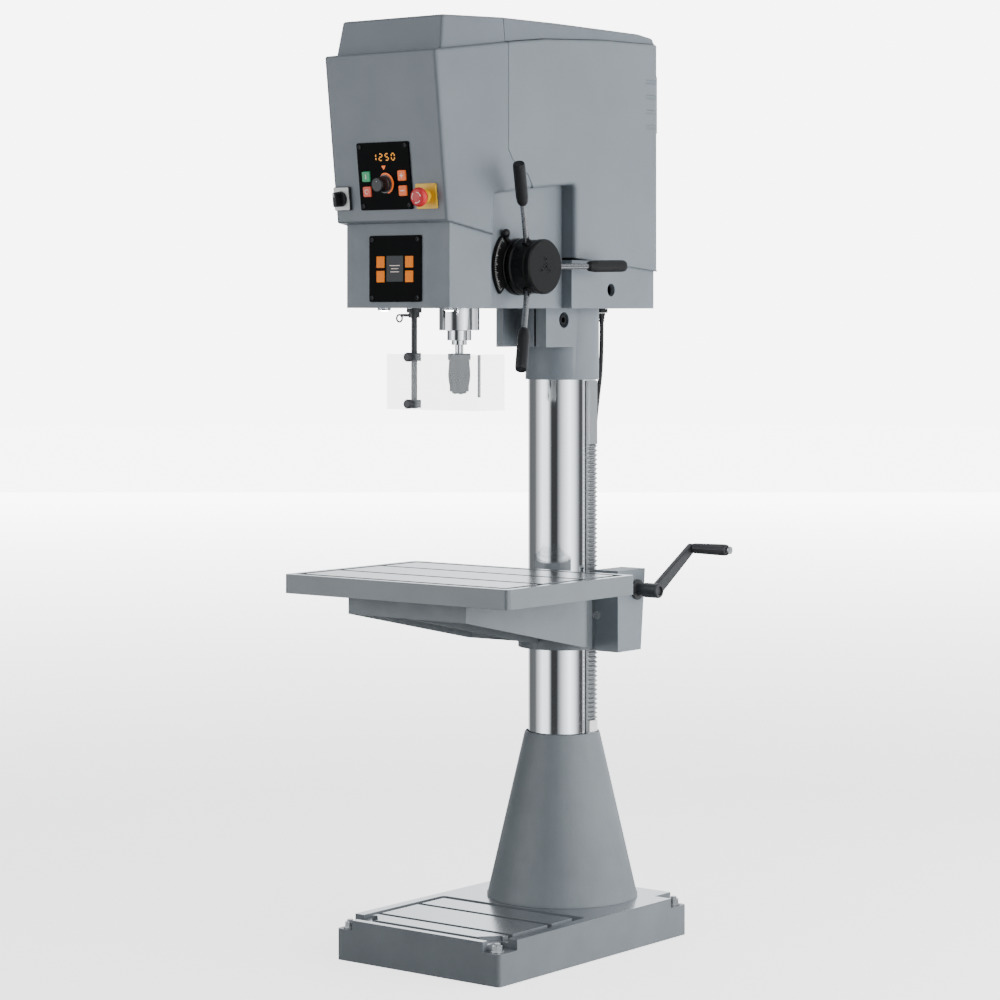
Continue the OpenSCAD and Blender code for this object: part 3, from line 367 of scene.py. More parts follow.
def make_materials():
    paint("cover_paint", GREY)
    paint("body_paint", PALE)
    casting("iron_paint", (0.13, 0.146, 0.159))
    casting("head_paint", PALE)
    part_machined("table_iron", (0.148, 0.165, 0.178), 0.735)
    part_machined("base_iron", (0.15, 0.166, 0.18), 0.0735)
    metal("chrome", (0.9, 0.91, 0.92), 0.07, (1, 1, 8), 0.03, 300)
    metal("quill_chrome", (0.86, 0.87, 0.88), 0.12, (1, 1, 8), 0.05, 300)
    metal("bright_steel", (0.34, 0.345, 0.355), 0.26, strength=0.03)
    metal("turned_steel", (0.5, 0.51, 0.52), 0.3, (1, 1, 6), 0.12)
    metal("rack_steel", (0.5, 0.51, 0.52), 0.42)
    metal("satin_chuck", (0.09, 0.093, 0.104), 0.42, (1, 1, 0.2), 0.08, 500)
    metal("zinc", (0.55, 0.56, 0.57), 0.35)
    metal("black_oxide", (0.04, 0.04, 0.043), 0.4)
    plastic("black_plastic", (0.008, 0.008, 0.009), 0.4)
    plastic("hub_black", (0.005, 0.005, 0.005), 0.36, 0.2, specular=0.2)
    plastic("grip_black", (0.009, 0.009, 0.01), 0.42, 0.2, specular=0.3)
    plastic("panel_black", (0.0015, 0.0015, 0.0016), 0.35, 0.04, specular=0.03)
    paint("crank_paint", (0.022, 0.023, 0.025), 0.45, 0.2)
    plastic("rubber", (0.012, 0.012, 0.013), 0.6, 0.3)
    plastic("white_plastic", (0.72, 0.73, 0.72), 0.35, 0.06)
    plastic("yellow_plastic", (0.82, 0.5, 0.015), 0.38, 0.06)
    plastic("red_plastic", (0.55, 0.014, 0.02), 0.3, 0.06)
    # The keys, the orange print, the display's squares and the glyphs glow a little in their own colour:
    # painted light that brightens them, as none of them is a lamp.
    plastic("green_key", (0.015, 0.26, 0.1), 0.4, 0.1, 0.25)
    plastic("red_key", (0.6, 0.07, 0.03), 0.4, 0.1, 0.25)
    plastic("orange_key", (0.8, 0.13, 0.012), 0.45, 0.1, 0.25)
    plastic("orange_print", (0.9, 0.16, 0.01), 0.4, 0.05, 0.5)
    plastic("square_print", (1.0, 0.23, 0.004), 0.45, 0.05, 0.12, specular=0.1)
    plastic("glyph", (0.75, 0.62, 0.56), 0.4, 0.05, 0.1)
    plastic("amber_light", (1.0, 0.36, 0.02), 0.4, 0.05, 0.7)
    plastic("lcd", (0.022, 0.023, 0.025), 0.35, 0.03, specular=0.25)
    plastic("lamp", (0.95, 0.97, 1.0), 0.3, 0.03, 30)
    # Grey of the dial's seat, also used for the painted reflection strip at the guard's bend.
    plastic("grey_dial_seat_and_painted_bend_reflection", (0.14, 0.145, 0.15), 0.4, 0.05)
    plastic("white_clip", (0.75, 0.75, 0.73), 0.4, 0.06)
    clear_sheet("clear_sheet", (0.74, 0.77, 0.78))


# -------------------- mesh helpers


def fillet(points, radius, steps=4, closed=False):
    """The outline with its corners rounded. radius is one number, or one for each point."""
    count = len(points)
    radii = radius if isinstance(radius, (list, tuple)) else [radius] * count
    out = []
    for i, here in enumerate(points):
        ends = not closed and i in (0, count - 1)
        r = 0 if ends else radii[i]
        p = Vector(here)
        if r <= 0:
            out.append(p)
            continue
        a, b = Vector(points[i - 1]) - p, Vector(points[(i + 1) % count]) - p
        turn = a.angle(b)
        if turn > pi - 0.02:
            out.append(p)
            continue
        back = min(r / tan(turn / 2), a.length * 0.49, b.length * 0.49)
        start, stop = p + a.normalized() * back, p + b.normalized() * back
        for k in range(steps + 1):
            t = k / steps
            out.append(start * (1 - t) ** 2 + p * 2 * t * (1 - t) + stop * t**2)
    return out


def skin(bm, low, high):
    """Faces between two rings of vertices. A ring of one vertex is a tip."""
    steps = max(len(low), len(high))
    for k in range(steps):
        n = (k + 1) % steps
        corners = (low[k % len(low)], low[n % len(low)], high[n % len(high)], high[k % len(high)])
        face = list(dict.fromkeys(corners))
        if len(face) > 2:
            bm.faces.new(face)


def lathe(bm, profile, steps, matrix, ripple=None):
    """Turns a profile of (radius, height) about Z. ripple(angle, radius, height) may change the radius."""
    rings = []
    for r, h in profile:
        if r < 1e-6:
            rings.append([bm.verts.new(matrix @ Vector((0, 0, h)))])
            continue
        ring = []
        for k in range(steps):
            a = 2 * pi * k / steps
            rr = ripple(a, r, h) if ripple else r
            ring.append(bm.verts.new(matrix @ Vector((rr * cos(a), rr * sin(a), h))))
        rings.append(ring)
    for low, high in zip(rings, rings[1:]):
        skin(bm, low, high)
    return bm


def spun(bm, profile, rounding, fineness, steps, matrix, ripple=None):
    """lathe() with the profile's corners rounded."""
    return lathe(bm, fillet(profile, rounding, fineness), steps, matrix, ripple)


def grooves(count, depth, beyond, low, high):
    """A ripple for lathe(): grooves where the radius is over beyond and the height from low to high."""

    def ripple(a, r, h):
        return r - depth * (0.5 + 0.5 * cos(count * a)) if r > beyond and low < h < high else r

    return ripple


def plate(bm, outline, low, high, matrix=Matrix()):
    """A flat piece with that outline in X and Y, from low to high."""
    bottom = [bm.verts.new(matrix @ Vector((x, y, low))) for x, y in outline]
    top = [bm.verts.new(matrix @ Vector((x, y, high))) for x, y in outline]
    bm.faces.new(bottom[::-1])
    bm.faces.new(top)
    skin(bm, bottom, top)
    return bm


def rectangle(w, h, radius, centre=(0, 0), steps=4):
    x, y = centre
    corners = [(x + sx * w / 2, y + sy * h / 2) for sx, sy in ((-1, -1), (1, -1), (1, 1), (-1, 1))]
    return fillet(corners, radius, steps, closed=True)


def hexagon(a, across_flats):
    """How far a hexagon's edge is from its middle at the angle a."""
    return across_flats / 2 / cos((a % (pi / 3)) - pi / 6)


def to_object(bm, name):
    """Mesh object from millimetres, faces turned outwards."""
    bmesh.ops.recalc_face_normals(bm, faces=bm.faces)
    bmesh.ops.scale(bm, vec=(MM, MM, MM), verts=bm.verts)
    mesh = bpy.data.meshes.new(name)
    bm.to_mesh(mesh)
    bm.free()
    return link(bpy.data.objects.new(name, mesh))


def apply(obj):
    """Makes the object's modifiers part of its mesh."""
    done = bpy.data.meshes.new_from_object(obj.evaluated_get(bpy.context.evaluated_depsgraph_get()))
    old = obj.data
    obj.modifiers.clear()
    obj.data = done
    done.name = obj.name
    bpy.data.meshes.remove(old)


def cut(obj, *cutters):
    for cutter in cutters:
        mod = obj.modifiers.new("cut", "BOOLEAN")
        mod.object = cutter
        mod.operation = "DIFFERENCE"
        mod.solver = "EXACT"
        mod.use_self = True
    apply(obj)
    for cutter in cutters:
        bpy.data.meshes.remove(cutter.data)


def bevel(obj, width, segments=3, angle=30, weight=False):
    mod = obj.modifiers.new("bevel", "BEVEL")
    mod.width = width * MM
    mod.segments = segments
    mod.limit_method = "WEIGHT" if weight else "ANGLE"
    mod.angle_limit = radians(angle)
    mod.miter_outer = "MITER_ARC"
    return mod


def round_edges(obj, width, segments=2, angle=40):
    """A bevel that becomes part of the mesh."""
    bevel(obj, width, segments, angle)
    apply(obj)


def flatten_shading(obj):
    """Big faces keep their own normals, and only the small faces between them are shaded round."""
    mod = obj.modifiers.new("shading", "WEIGHTED_NORMAL")
    mod.keep_sharp = True
    mod.weight = 50


def dress(obj, material, body, replaces=(), smooth=32):
    """Material, smooth faces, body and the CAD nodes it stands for."""
    mesh = obj.data
    if not mesh.materials:
        mesh.materials.append(materials[material])
    mesh.polygons.foreach_set("use_smooth", [True] * len(mesh.polygons))
    mesh.set_sharp_from_angle(angle=radians(smooth))
    flatten_shading(obj)
    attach(obj, body)
    if replaces:
        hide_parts(*replaces)
    return obj


def piece(bm, name, material, body, replaces=(), soften=0, segments=2, smooth=32):
    """The usual last step of a piece built in millimetres."""
    obj = to_object(bm, name)
    if soften:
        round_edges(obj, soften, segments)
    return dress(obj, material, body, replaces, smooth)


def axis_place(name):
    """A joint's place, in millimetres."""
    joint = next(j for j in frame["joints"] if j["name"] == name)
    return Vector(joint["pos_m"]) / MM


# -------------------- head

LEAN = 6.6
FACE_FOOT = Vector((0, -546, 1455))
NOSE_Y = -527
HEAD_W = 141
LID_LOW, LID_TOP, LID_H = 132, 126, 66
LID_FOOT = [(-556, 1779.4), (-360, 1806), (-240, 1821), (-43, 1833), (150, 1837)]
SHELL = 4
PANEL_AT = (-6, 88)
DIAL_AT = (-6, 73)
ESTOP_AT = (94, 47)
SWITCH_AT = (-116, 47)
DISPLAY_AT = (-4, 1365)
KEY_DX, KEY_W = 44.7, 20
KEY_ROWS = (88, 59)
FACE = 3.3  # how far the panels stand out
VENT_ROWS = [1664 + 31 * row for row in range(4)]


def on_front(x, v, out=0.0):
    """Frame on the leaning front face: X across, Y up the face, Z outwards."""
    return at(FACE_FOOT) @ spin(LEAN, "X") @ TURN_X @ at((x, v, out))


def on_nose(x, z, out=0.0):
    """The same on the vertical lower front of the casting."""
    return at((x, NOSE_Y - out, z)) @ TURN_X


def along_x(x, y, z):
    """Frame whose Z runs along +X, for what turns about a sideways axis."""
    return at((x, y, z)) @ TURN_Z @ TURN_X


def prism(outline, half, side, across, name, segments=5):
    """Outline in (y, z) drawn out to x = -half..half. side has a rounding for each stretch of the outline,
    across one for each corner; both are in millimetres."""
    bm = bmesh.new()
    left = [bm.verts.new((-half, y, z)) for y, z in outline]
    right = [bm.verts.new((half, y, z)) for y, z in outline]
    bm.faces.new(left)
    bm.faces.new(right[::-1])
    count = len(outline)
    for i in range(count):
        n = (i + 1) % count
        bm.faces.new((left[n], left[i], right[i], right[n]))
    widest = max(max(side), max(across), 0.01)
    weight = bm.edges.layers.float.new("bevel_weight_edge")
    for i in range(count):
        n = (i + 1) % count
        for ring in (left, right):
            bm.edges.get((ring[i], ring[n]))[weight] = side[i] / widest
        bm.edges.get((left[i], right[i]))[weight] = across[i] / widest
    obj = to_object(bm, name)
    mod = bevel(obj, widest, segments, weight=True)
    mod.use_clamp_overlap = False
    apply(obj)
    return obj


def inset(outline, by):
    """The outline moved inwards; it runs anticlockwise or clockwise alike."""
    area = sum(a[0] * b[1] - b[0] * a[1] for a, b in zip(outline, outline[1:] + outline[:1]))
    turn = 1 if area > 0 else -1
    out = []
    for i, p in enumerate(outline):
        a, b = Vector(outline[i - 1]), Vector(outline[(i + 1) % len(outline)])
        here = Vector(p)
        d1, d2 = (here - a).normalized(), (b - here).normalized()
        n1, n2 = Vector((-d1.y, d1.x)) * turn, Vector((-d2.y, d2.x)) * turn
        out.append(tuple(here + (n1 + n2) * (by / (1 + n1.dot(n2)))))
    return out


def box_object(name, low, high, radius=0):
    bm = bmesh.new()
    bmesh.ops.create_cube(bm, size=1)
    size = Vector(high) - Vector(low)
    bmesh.ops.scale(bm, vec=size, verts=bm.verts)
    bmesh.ops.translate(bm, vec=(Vector(high) + Vector(low)) / 2, verts=bm.verts)
    obj = to_object(bm, name)
    if radius:
        round_edges(obj, radius, 4, 30)
    return obj


def plug_cutter(name, matrix, outline, depth):
    return to_object(plate(bmesh.new(), outline, -depth, depth, matrix), name)


def shell(name, outline, side, across):
    """Sheet cover with that outer form."""
    outer = prism(outline, HEAD_W, side, across, name)
    inner = prism(inset(outline, SHELL), HEAD_W - SHELL, [max(r - SHELL, 0) for r in side],
                  [max(r - SHELL, 0) for r in across], "inside")
    cut(outer, inner)
    return outer


def build_front_cover():
    outline = [(-546, 1455), (-583.2, 1776.5), (-360.5, 1806), (-360.5, 1596.5), (-346.5, 1577),
               (-298.5, 1550), (-282, 1524), (-400, 1509), (-400, 1431)]
    side = [9, 6, 0.8, 0.8, 0.8, 0.8, 12, 16, 4]
    across = [4, 5, 0.8, 0.8, 0.8, 0.8, 0.8, 4, 2]
    obj = shell("front_cover_shell", outline, side, across)
    cut(obj,
        box_object("a", (-129.6, -527.6, 1400), (129.6, -270, 1470)),
        box_object("b", (-104.4, -430, 1400), (104.4, -250, 1570)),
        box_object("c", (-118, -545, 1700), (118, -300, 1900)),
        plug_cutter("d", on_front(*PANEL_AT), rectangle(110, 110, 3), 20))
    dress(obj, "cover_paint", "machine", ["front_cover"])


def build_rear_cover():
    outline = [(-359.5, 1806), (-240, 1820), (-43, 1832), (151, 1836), (151, 1366), (-140, 1390.5),
               (-140, 1537), (-280, 1524), (-297.5, 1550.5), (-345.5, 1577.5), (-359.5, 1597)]
    side = [6, 6, 6, 20, 3, 12, 12, 0.8, 0.8, 0.8, 0.8]
    across = [0.8, 0, 0, 10, 3, 2, 8, 0.8, 0.8, 0.8, 0.8]
    obj = shell("rear_cover_shell", outline, side, across)
    cutters = [
        box_object("a", (-129.6, -139, 1350), (129.6, 144.5, 1402)),
        box_object("b", (-104.4, -380, 1350), (104.4, -127, 1560)),
        box_object("c", (-118, -400, 1700), (118, 128, 1900))]
    cut(obj, *cutters)
    for z in VENT_ROWS:
        for s in (-1, 1):
            cut(obj, box_object("vent", (s * 141 - 27, 98, z - 4.5), (s * 141 + 27, 200, z + 4.5), 4.2))
    dress(obj, "body_paint", "machine", ["rear_cover"])


def build_vent_liners():
    """Sheet just inside the vents, so that daylight doesn't show through the corner."""
    bm = bmesh.new()
    corner = ((136.4, 94), (136.4, 146.4), (110, 146.4), (110, 144), (134, 144), (134, 94))
    for s in (-1, 1):
        plate(bm, [(s * x, y) for x, y in corner], VENT_ROWS[0] - 12, VENT_ROWS[-1] + 13)
    piece(bm, "vent_liners", "body_paint", "machine", (), 0.4, 2)


def build_lid(name, node, outline, side, across):
    """A lid, LID_LOW to each side at its foot and LID_TOP at its top."""
    obj = prism(outline, LID_LOW, side, across, name)
    for v in obj.data.vertices:
        y, z = v.co.y / MM, v.co.z / MM
        base = next((a[1] + (b[1] - a[1]) * (y - a[0]) / (b[0] - a[0]) for a, b in zip(LID_FOOT, LID_FOOT[1:])
                     if a[0] <= y <= b[0]), LID_FOOT[0][1] if y < 0 else LID_FOOT[-1][1])
        rise = min(max((z - base) / LID_H, 0), 1)
        v.co.x *= 1 - rise * (LID_LOW - LID_TOP) / LID_LOW
    inner = prism(inset(outline, SHELL), LID_TOP - SHELL, [3] * len(side), [3] * len(across), "inside")
    for v in inner.data.vertices:
        if v.co.z / MM < 1842:
            v.co.z -= 30 * MM
    cut(obj, inner)
    dress(obj, "cover_paint", "machine", [node])


def build_lids():
    build_lid("lid_front_shell", "lid_front",
              [(-556, 1779.4), (-544, 1846), (-366, 1854), (-360.5, 1854.2), (-360.5, 1806)],
              [6, 5, 5, 0.8, 0.8], [1, 5, 0, 0.8, 0.8])
    build_lid("lid_rear_shell", "lid_rear",
              [(-359.5, 1807), (-359.5, 1854.2), (-185, 1856), (90, 1855), (140, 1849), (148, 1837),
               (-43, 1833), (-240, 1821)],
              [0.8, 5, 5, 5, 8, 0.8, 0.8, 0.8], [0.8, 0.8, 0, 6, 6, 1, 0, 0])


# -------------------- controls


def socket_screw(bm, matrix, radius, across_flats, height, depth):
    """A screw's head with a hexagon socket, standing on the frame's plane."""
    socket = None
    rows = [(radius, 0), (radius, height * 0.45), (radius * 0.86, height * 0.75), (radius * 0.62, height),
            (socket, height), (socket, height - depth)]
    rings = []
    for r, h in rows:
        ring = []
        for k in range(24):
            a = 2 * pi * k / 24
            rr = hexagon(a, across_flats) if r is socket else r
            ring.append(bm.verts.new(matrix @ Vector((rr * cos(a), rr * sin(a), h))))
        rings.append(ring)
    for low, high in zip(rings, rings[1:]):
        skin(bm, low, high)
    bm.faces.new(rings[0][::-1])
    bm.faces.new(rings[-1])


def build_panel_screws():
    bm = bmesh.new()
    for sx in (-1, 1):
        for sv in (-1, 1):
            for place in (on_front(PANEL_AT[0] + sx * 57, PANEL_AT[1] + sv * 57, FACE),
                          on_nose(DISPLAY_AT[0] + sx * 57, DISPLAY_AT[1] + sv * 56, FACE)):
                socket_screw(bm, place, 4.6, 4.4, 2.3, 1.6)
    piece(bm, "panel_screw_heads", "black_oxide", "machine", ["panel_screws"])


# Segments of a readout's digit: half widths across, half heights up, and whether it lies flat
SEGMENTS = {"a": (0, 1, 1), "b": (1, 0.5, 0), "c": (1, -0.5, 0), "d": (0, -1, 1), "e": (-1, -0.5, 0),
            "f": (-1, 0.5, 0), "g": (0, 0, 1)}
DIGITS = {"0": "abcdef", "1": "bc", "2": "abdeg", "5": "acdfg"}


def readout(bm, matrix, text, low, high):
    """Seven-segment digits side by side, centred on the frame."""
    width, height, thick, pitch = 7.4, 12.5, 1.9, 15.5
    for i, letter in enumerate(text):
        x0 = (i - (len(text) - 1) / 2) * pitch
        for key in DIGITS[letter]:
            sx, sy, flat = SEGMENTS[key]
            w, h = (width - thick * 1.3, thick) if flat else (thick, height / 2 - thick * 1.2)
            centre = (x0 + sx * width / 2, sy * height / 2)
            plate(bm, rectangle(w, h, thick * 0.3, centre, 2), low, high, matrix)


def ring_arc(bm, matrix, r0, r1, start, stop, low, high, steps=28):
    """A flat crescent from r0 to r1, thinner towards its ends."""
    outer, inner = [], []
    for k in range(steps + 1):
        t = k / steps
        a = radians(start + (stop - start) * t)
        r = r0 + (r1 - r0) * (sin(pi * t) ** 0.5 if 0 < t < 1 else 0.15)
        outer.append((r * cos(a), r * sin(a)))
        inner.append((r0 * cos(a), r0 * sin(a)))
    plate(bm, outer + inner[::-1], low, high, matrix)


def build_control_panel():
    place = on_front(*PANEL_AT)
    bm = plate(bmesh.new(), rectangle(130, 130, 4), 0.3, FACE, place)
    plate(bm, rectangle(100, 100, 2), -28, 0.5, place)
    obj = to_object(bm, "control_panel_face")
    round_edges(obj, 0.7)
    hole = rectangle(KEY_W + 0.8, KEY_W + 0.8, 2)
    cut(obj, *[plug_cutter("key_hole", on_front(PANEL_AT[0] + s * KEY_DX, v, FACE + 2), hole, 8)
               for s in (-1, 1) for v in KEY_ROWS])
    dress(obj, "panel_black", "machine", ["control_panel"])
    dial = on_front(*DIAL_AT, FACE)
    bm = bmesh.new()
    ring_arc(bm, dial, 18.2, 22.5, 115, -75, -0.2, 0.35)
    plate(bm, fillet([(-5.5, 35), (5.5, 35), (0, 26.5)], 0.8, 2, True), -0.2, 0.35, dial)
    piece(bm, "panel_print", "orange_print", "machine", ())
    bm = bmesh.new()
    readout(bm, on_front(PANEL_AT[0] + 2, 124.5, FACE), "1250", -0.2, 0.3)
    piece(bm, "speed_readout", "amber_light", "machine", ())
    ring = spun(bmesh.new(), [(15.4, 0), (17.6, 0), (17.6, 1.4), (15.4, 1.4), (15.4, 0)], 0.3, 2, 48, dial)
    piece(ring, "dial_seat", "grey_dial_seat_and_painted_bend_reflection", "machine", ())


def build_keys():
    keys = {"start_key": (-1, 0, "green_key"), "stop_key": (-1, 1, "red_key"),
            "faster_key": (1, 0, "orange_key"), "slower_key": (1, 1, "orange_key")}
    for name, (side, row, material) in keys.items():
        place = on_front(PANEL_AT[0] + side * KEY_DX, KEY_ROWS[row])
        bm = plate(bmesh.new(), rectangle(KEY_W, KEY_W, 3), -1.5, 5.8, place)
        piece(bm, name + "_cap", material, name, [name], 1.4, 4)
        bm = bmesh.new()
        if name == "start_key":
            plate(bm, rectangle(2, 9, 0.6), 5.6, 6.05, place)
        elif name == "stop_key":
            ring_arc(bm, place, 3.6, 5.0, 0, 359, 5.6, 6.05)
        else:
            plate(bm, rectangle(9, 2, 0.5), 5.6, 6.05, place)
            if name == "faster_key":
                plate(bm, rectangle(2, 9, 0.5), 5.6, 6.04, place)
        piece(bm, name + "_mark", "glyph", name, ())


def build_dial():
    place = on_front(*DIAL_AT, 3.9)
    profile = [(0, -12), (4, -12), (4, 0), (15.6, 0), (15.6, 5), (14.3, 7), (13.8, 22.5), (12.2, 24.3),
               (0, 23.6)]
    bm = spun(bmesh.new(), profile, [0, 0, 0, 0.6, 1, 1, 2, 1.5, 0], 3, 144, place,
              grooves(24, 0.45, 12, 7, 22.4))
    piece(bm, "speed_dial_knob", "black_plastic", "speed_dial", ["speed_dial"])
    bm = plate(bmesh.new(), rectangle(1.4, 7, 0.5, (0, 9)), 23.2, 24.0, place)
    piece(bm, "speed_dial_line", "white_plastic", "speed_dial", ())


def build_display():
    place = on_nose(*DISPLAY_AT)
    bm = plate(bmesh.new(), rectangle(130, 128, 4), 0.3, FACE, place)
    plate(bm, rectangle(94, 94, 2), -21, 0.5, place)
    piece(bm, "display_face", "panel_black", "machine", ["display_panel"], 0.7, 2)
    bm = plate(bmesh.new(), rectangle(42, 50, 1), 3.2, 3.75, place)
    piece(bm, "display_screen", "lcd", "machine", (), 0.2, 1)
    bm = bmesh.new()
    for x in (-36, 36):
        for v in (13, -15):
            plate(bm, rectangle(20, 22, 1.2, (x, v)), 3.2, 3.7, place)
    piece(bm, "display_squares", "square_print", "machine", ())
    bm = bmesh.new()
    for v, w in ((6, 26), (0, 18), (-6, 22)):
        plate(bm, rectangle(w, 1.6, 0.5, (0, v)), 3.6, 3.85, place)
    piece(bm, "display_lines", "glyph", "machine", ())


def build_main_switch():
    place = on_front(*SWITCH_AT)
    bm = plate(bmesh.new(), rectangle(40, 46, 3), 0.3, 5.6, place)
    lathe(bm, [(0, -24), (7.8, -24), (7.8, 0.6), (0, 0.6)], 32, place)
    piece(bm, "main_switch_box", "black_plastic", "machine", (), 0.8, 3)
    bm = plate(bmesh.new(), rectangle(38, 44, 2.4), 5.5, 7.2, place)
    piece(bm, "main_switch_plate", "white_plastic", "machine", ["switch_plates"], 0.5, 3)
    bm = spun(bmesh.new(), [(0, -12), (4, -12), (4, 7.6), (15, 7.6), (14.6, 14), (0, 14)], 1, 3, 48, place)
    plate(bm, rectangle(8.5, 29, 4), 13.5, 28.5, place)
    piece(bm, "main_switch_handle", "grip_black", "main_switch", ["main_switch_knob"], 0.8, 3)
    bm = plate(bmesh.new(), rectangle(1.6, 8, 0.6, (0, 8.5)), 28.3, 28.8, place)
    piece(bm, "main_switch_line", "white_plastic", "main_switch", ())


def build_estop():
    place = on_front(*ESTOP_AT)
    bm = plate(bmesh.new(), rectangle(50, 48, 3), 0.3, FACE, place)
    spun(bm, [(0, -28), (10.8, -28), (10.8, 0.4), (13.2, 0.4), (13.2, 11.4), (12.2, 12.3), (0, 12.3)], 0.4, 2,
         48, place)
    piece(bm, "estop_plate", "yellow_plastic", "machine", (), 0.6, 3)
    profile = [(0, -6), (7.9, -6), (7.9, 18), (15, 18), (18.5, 21.5), (18.5, 26.5), (15.2, 31.5), (8, 33.6),
               (0, 33.9)]
    bm = spun(bmesh.new(), profile, [0, 0, 0, 1, 2.5, 2.5, 5, 6, 0], 4, 64, place)
    piece(bm, "estop_mushroom", "red_plastic", "estop_button", ["estop_button"])
    bm = bmesh.new()
    for k in range(3):
        turned = place @ spin(120 * k)
        ring_arc(bm, turned, 9.5, 11, 20, 90, 32.6, 33.2, 12)
        arrow = fillet([(8.6, -1), (12, -1), (10.3, 4.2)], 0.3, 2, True)
        plate(bm, arrow, 32.5, 33.15, turned @ spin(16))
    piece(bm, "estop_arrows", "glyph", "estop_button", ())


# -------------------- feed

HUB_X, CAP_X, RECESS_X = 108, 164.5, 104
CONE = 16
LEVER_TURNS = (31, 151, 271)
LEVER_R = 229
LEVER_X = 135
LEVER_L = LEVER_R / cos(radians(CONE))
GRIP_FOOT = LEVER_L - 90


def lever_place(turn):
    """Frame whose Z runs out along one feed lever."""
    hub = axis_place("feed_turn")
    return at((0, hub.y, hub.z)) @ spin(turn, "X") @ at((LEVER_X, 0, 0)) @ spin(CONE, "Y")


def build_hub():
    hub = axis_place("feed_turn")
    place = along_x(HUB_X, hub.y, hub.z)
    profile = [(12, 12), (54.6, 12), (56, 13.4), (56, 20), (54.6, 21.4), (53, 22), (53, 51), (51.4, 53.2),
               (50, 54), (50, 56.2), (12, 56.2), (12, 12)]
    obj = to_object(spun(bmesh.new(), profile, 0.8, 3, 96, place), "hub_barrel")
    dress(obj, "hub_black", "feed", ["feed_hub"])
    bm = bmesh.new()
    profile = [(6.1, 40), (9.5, 40), (9.5, 57), (8.4, 58.5), (6.1, 58.5), (6.1, 40)]
    for turn in LEVER_TURNS:
        spun(bm, profile, 0.8, 3, 32, lever_place(turn))
    piece(bm, "hub_sockets", "hub_black", "feed", ())
    cap = along_x(CAP_X, hub.y, hub.z)
    profile = [(0, 0), (54, 0), (54, 8.2), (51.2, 11.3), (8, 11.5), (7, 10.6), (0, 10.6)]
    bm = spun(bmesh.new(), profile, [0, 0.8, 1.6, 1.6, 0.5, 0.5, 0], 4, 96, cap)
    piece(bm, "hub_cap_disc", "hub_black", "feed", ["hub_cap"])
    bm = bmesh.new()
    for k in range(3):
        a = radians(90 + 120 * k)
        socket_screw(bm, cap @ at((15 * cos(a), 15 * sin(a), 11.3)), 4.2, 4, 1.6, 1.4)
    socket_screw(bm, cap @ at((0, 0, 10.4)), 5.2, 5, 2.2, 1.8)
    piece(bm, "hub_cap_screws", "black_oxide", "feed", ())


def build_levers():
    rods, grips, ends = bmesh.new(), bmesh.new(), bmesh.new()
    low, top = GRIP_FOOT, LEVER_L
    rod = [(0, 26), (6, 26), (5.6, low + 4), (0, low + 4)]
    grip = [(4.8, low - 1.2), (9.2, low - 1.2), (10.6, low + 3), (12, low + 14), (12, top - 7), (11, top - 1),
            (8.6, top), (8, top - 1.6), (0, top - 1.6)]
    collar = [(0, low - 3.4), (7.6, low - 3.4), (7.6, low - 1.1), (0, low - 1.1)]
    for turn in LEVER_TURNS:
        place = lever_place(turn)
        spun(rods, rod, [0, 0.5, 0.5, 0], 3, 32, place)
        spun(grips, grip, [0, 1.2, 4, 10, 4, 2, 0.6, 0.6, 0], 4, 48, place)
        spun(ends, collar, 0.5, 2, 32, place)
    piece(rods, "lever_rods", "bright_steel", "feed", ["feed_spokes"])
    piece(grips, "lever_grips", "grip_black", "feed", ["feed_grips"])
    piece(ends, "lever_grip_collars", "black_plastic", "feed", ())


def build_depth_ring():
    hub = axis_place("depth_ring_turn")
    place = along_x(RECESS_X + 0.3, hub.y, hub.z)
    rim = [(80 * cos(a), 80 * sin(a)) for a in map(radians, range(132, 223, 3))]
    bm = plate(bmesh.new(), [(0, 0)] + rim, 0, 7, place)
    spun(bm, [(0, 0), (56, 0), (56, 9.4), (54.4, 11), (0, 11)], [0, 0.5, 1.5, 1.5, 0], 3, 96, place)
    arm = place @ spin(125)
    plate(bm, rectangle(24, 9, 3, (63, 0)), 0.2, 7.2, arm)
    lathe(bm, [(0, 5), (4, 5), (4, 12), (0, 12)], 24, arm @ at((74, 0, 0)))
    obj = to_object(bm, "depth_ring_sector")
    round_edges(obj, 0.6)
    hole = to_object(lathe(bmesh.new(), [(0, -2), (27, -2), (27, 20), (0, 20)], 64, place), "hole")
    cut(obj, hole)
    dress(obj, "hub_black", "depth_ring", ["depth_ring"])
    bm = bmesh.new()
    ball = arm @ at((80, 0, 9))
    half = [pi * k / 16 for k in range(17)]
    lathe(bm, [(8.4 * sin(a), -8.4 * cos(a)) for a in half], 32, ball)
    piece(bm, "depth_ring_ball", "black_plastic", "depth_ring", ())
    bm = bmesh.new()
    for k in range(31):
        long = 9 if k % 5 == 0 else 5
        plate(bm, rectangle(long, 0.5, 0.1, (78.5 - long / 2, 0), 1), 6.9, 7.12, place @ spin(136 + 2.7 * k))
    piece(bm, "depth_ring_scale", "white_plastic", "depth_ring", ())


# -------------------- chuck, spindle and guard

SPINDLE_Y = -338
CHUCK_FOOT, JAW_FOOT, JAW_TILT = 1114, 1120, 12
ROD_AT = (-54, -412)
GUARD_X, GUARD_FRONT, GUARD_BACK, GUARD_THICK, GUARD_ROUND = 116, -422, -341, 3, 7
GUARD_LOW, GUARD_HIGH = 1090.5, 1199.5
KNOB_HEIGHTS = (GUARD_LOW + 11, GUARD_HIGH - 6)
LAMP_X, LAMP_Y, LAMP_Z = 82, -470, 1289.3


def spindle_place(z):
    return at((0, SPINDLE_Y, z))


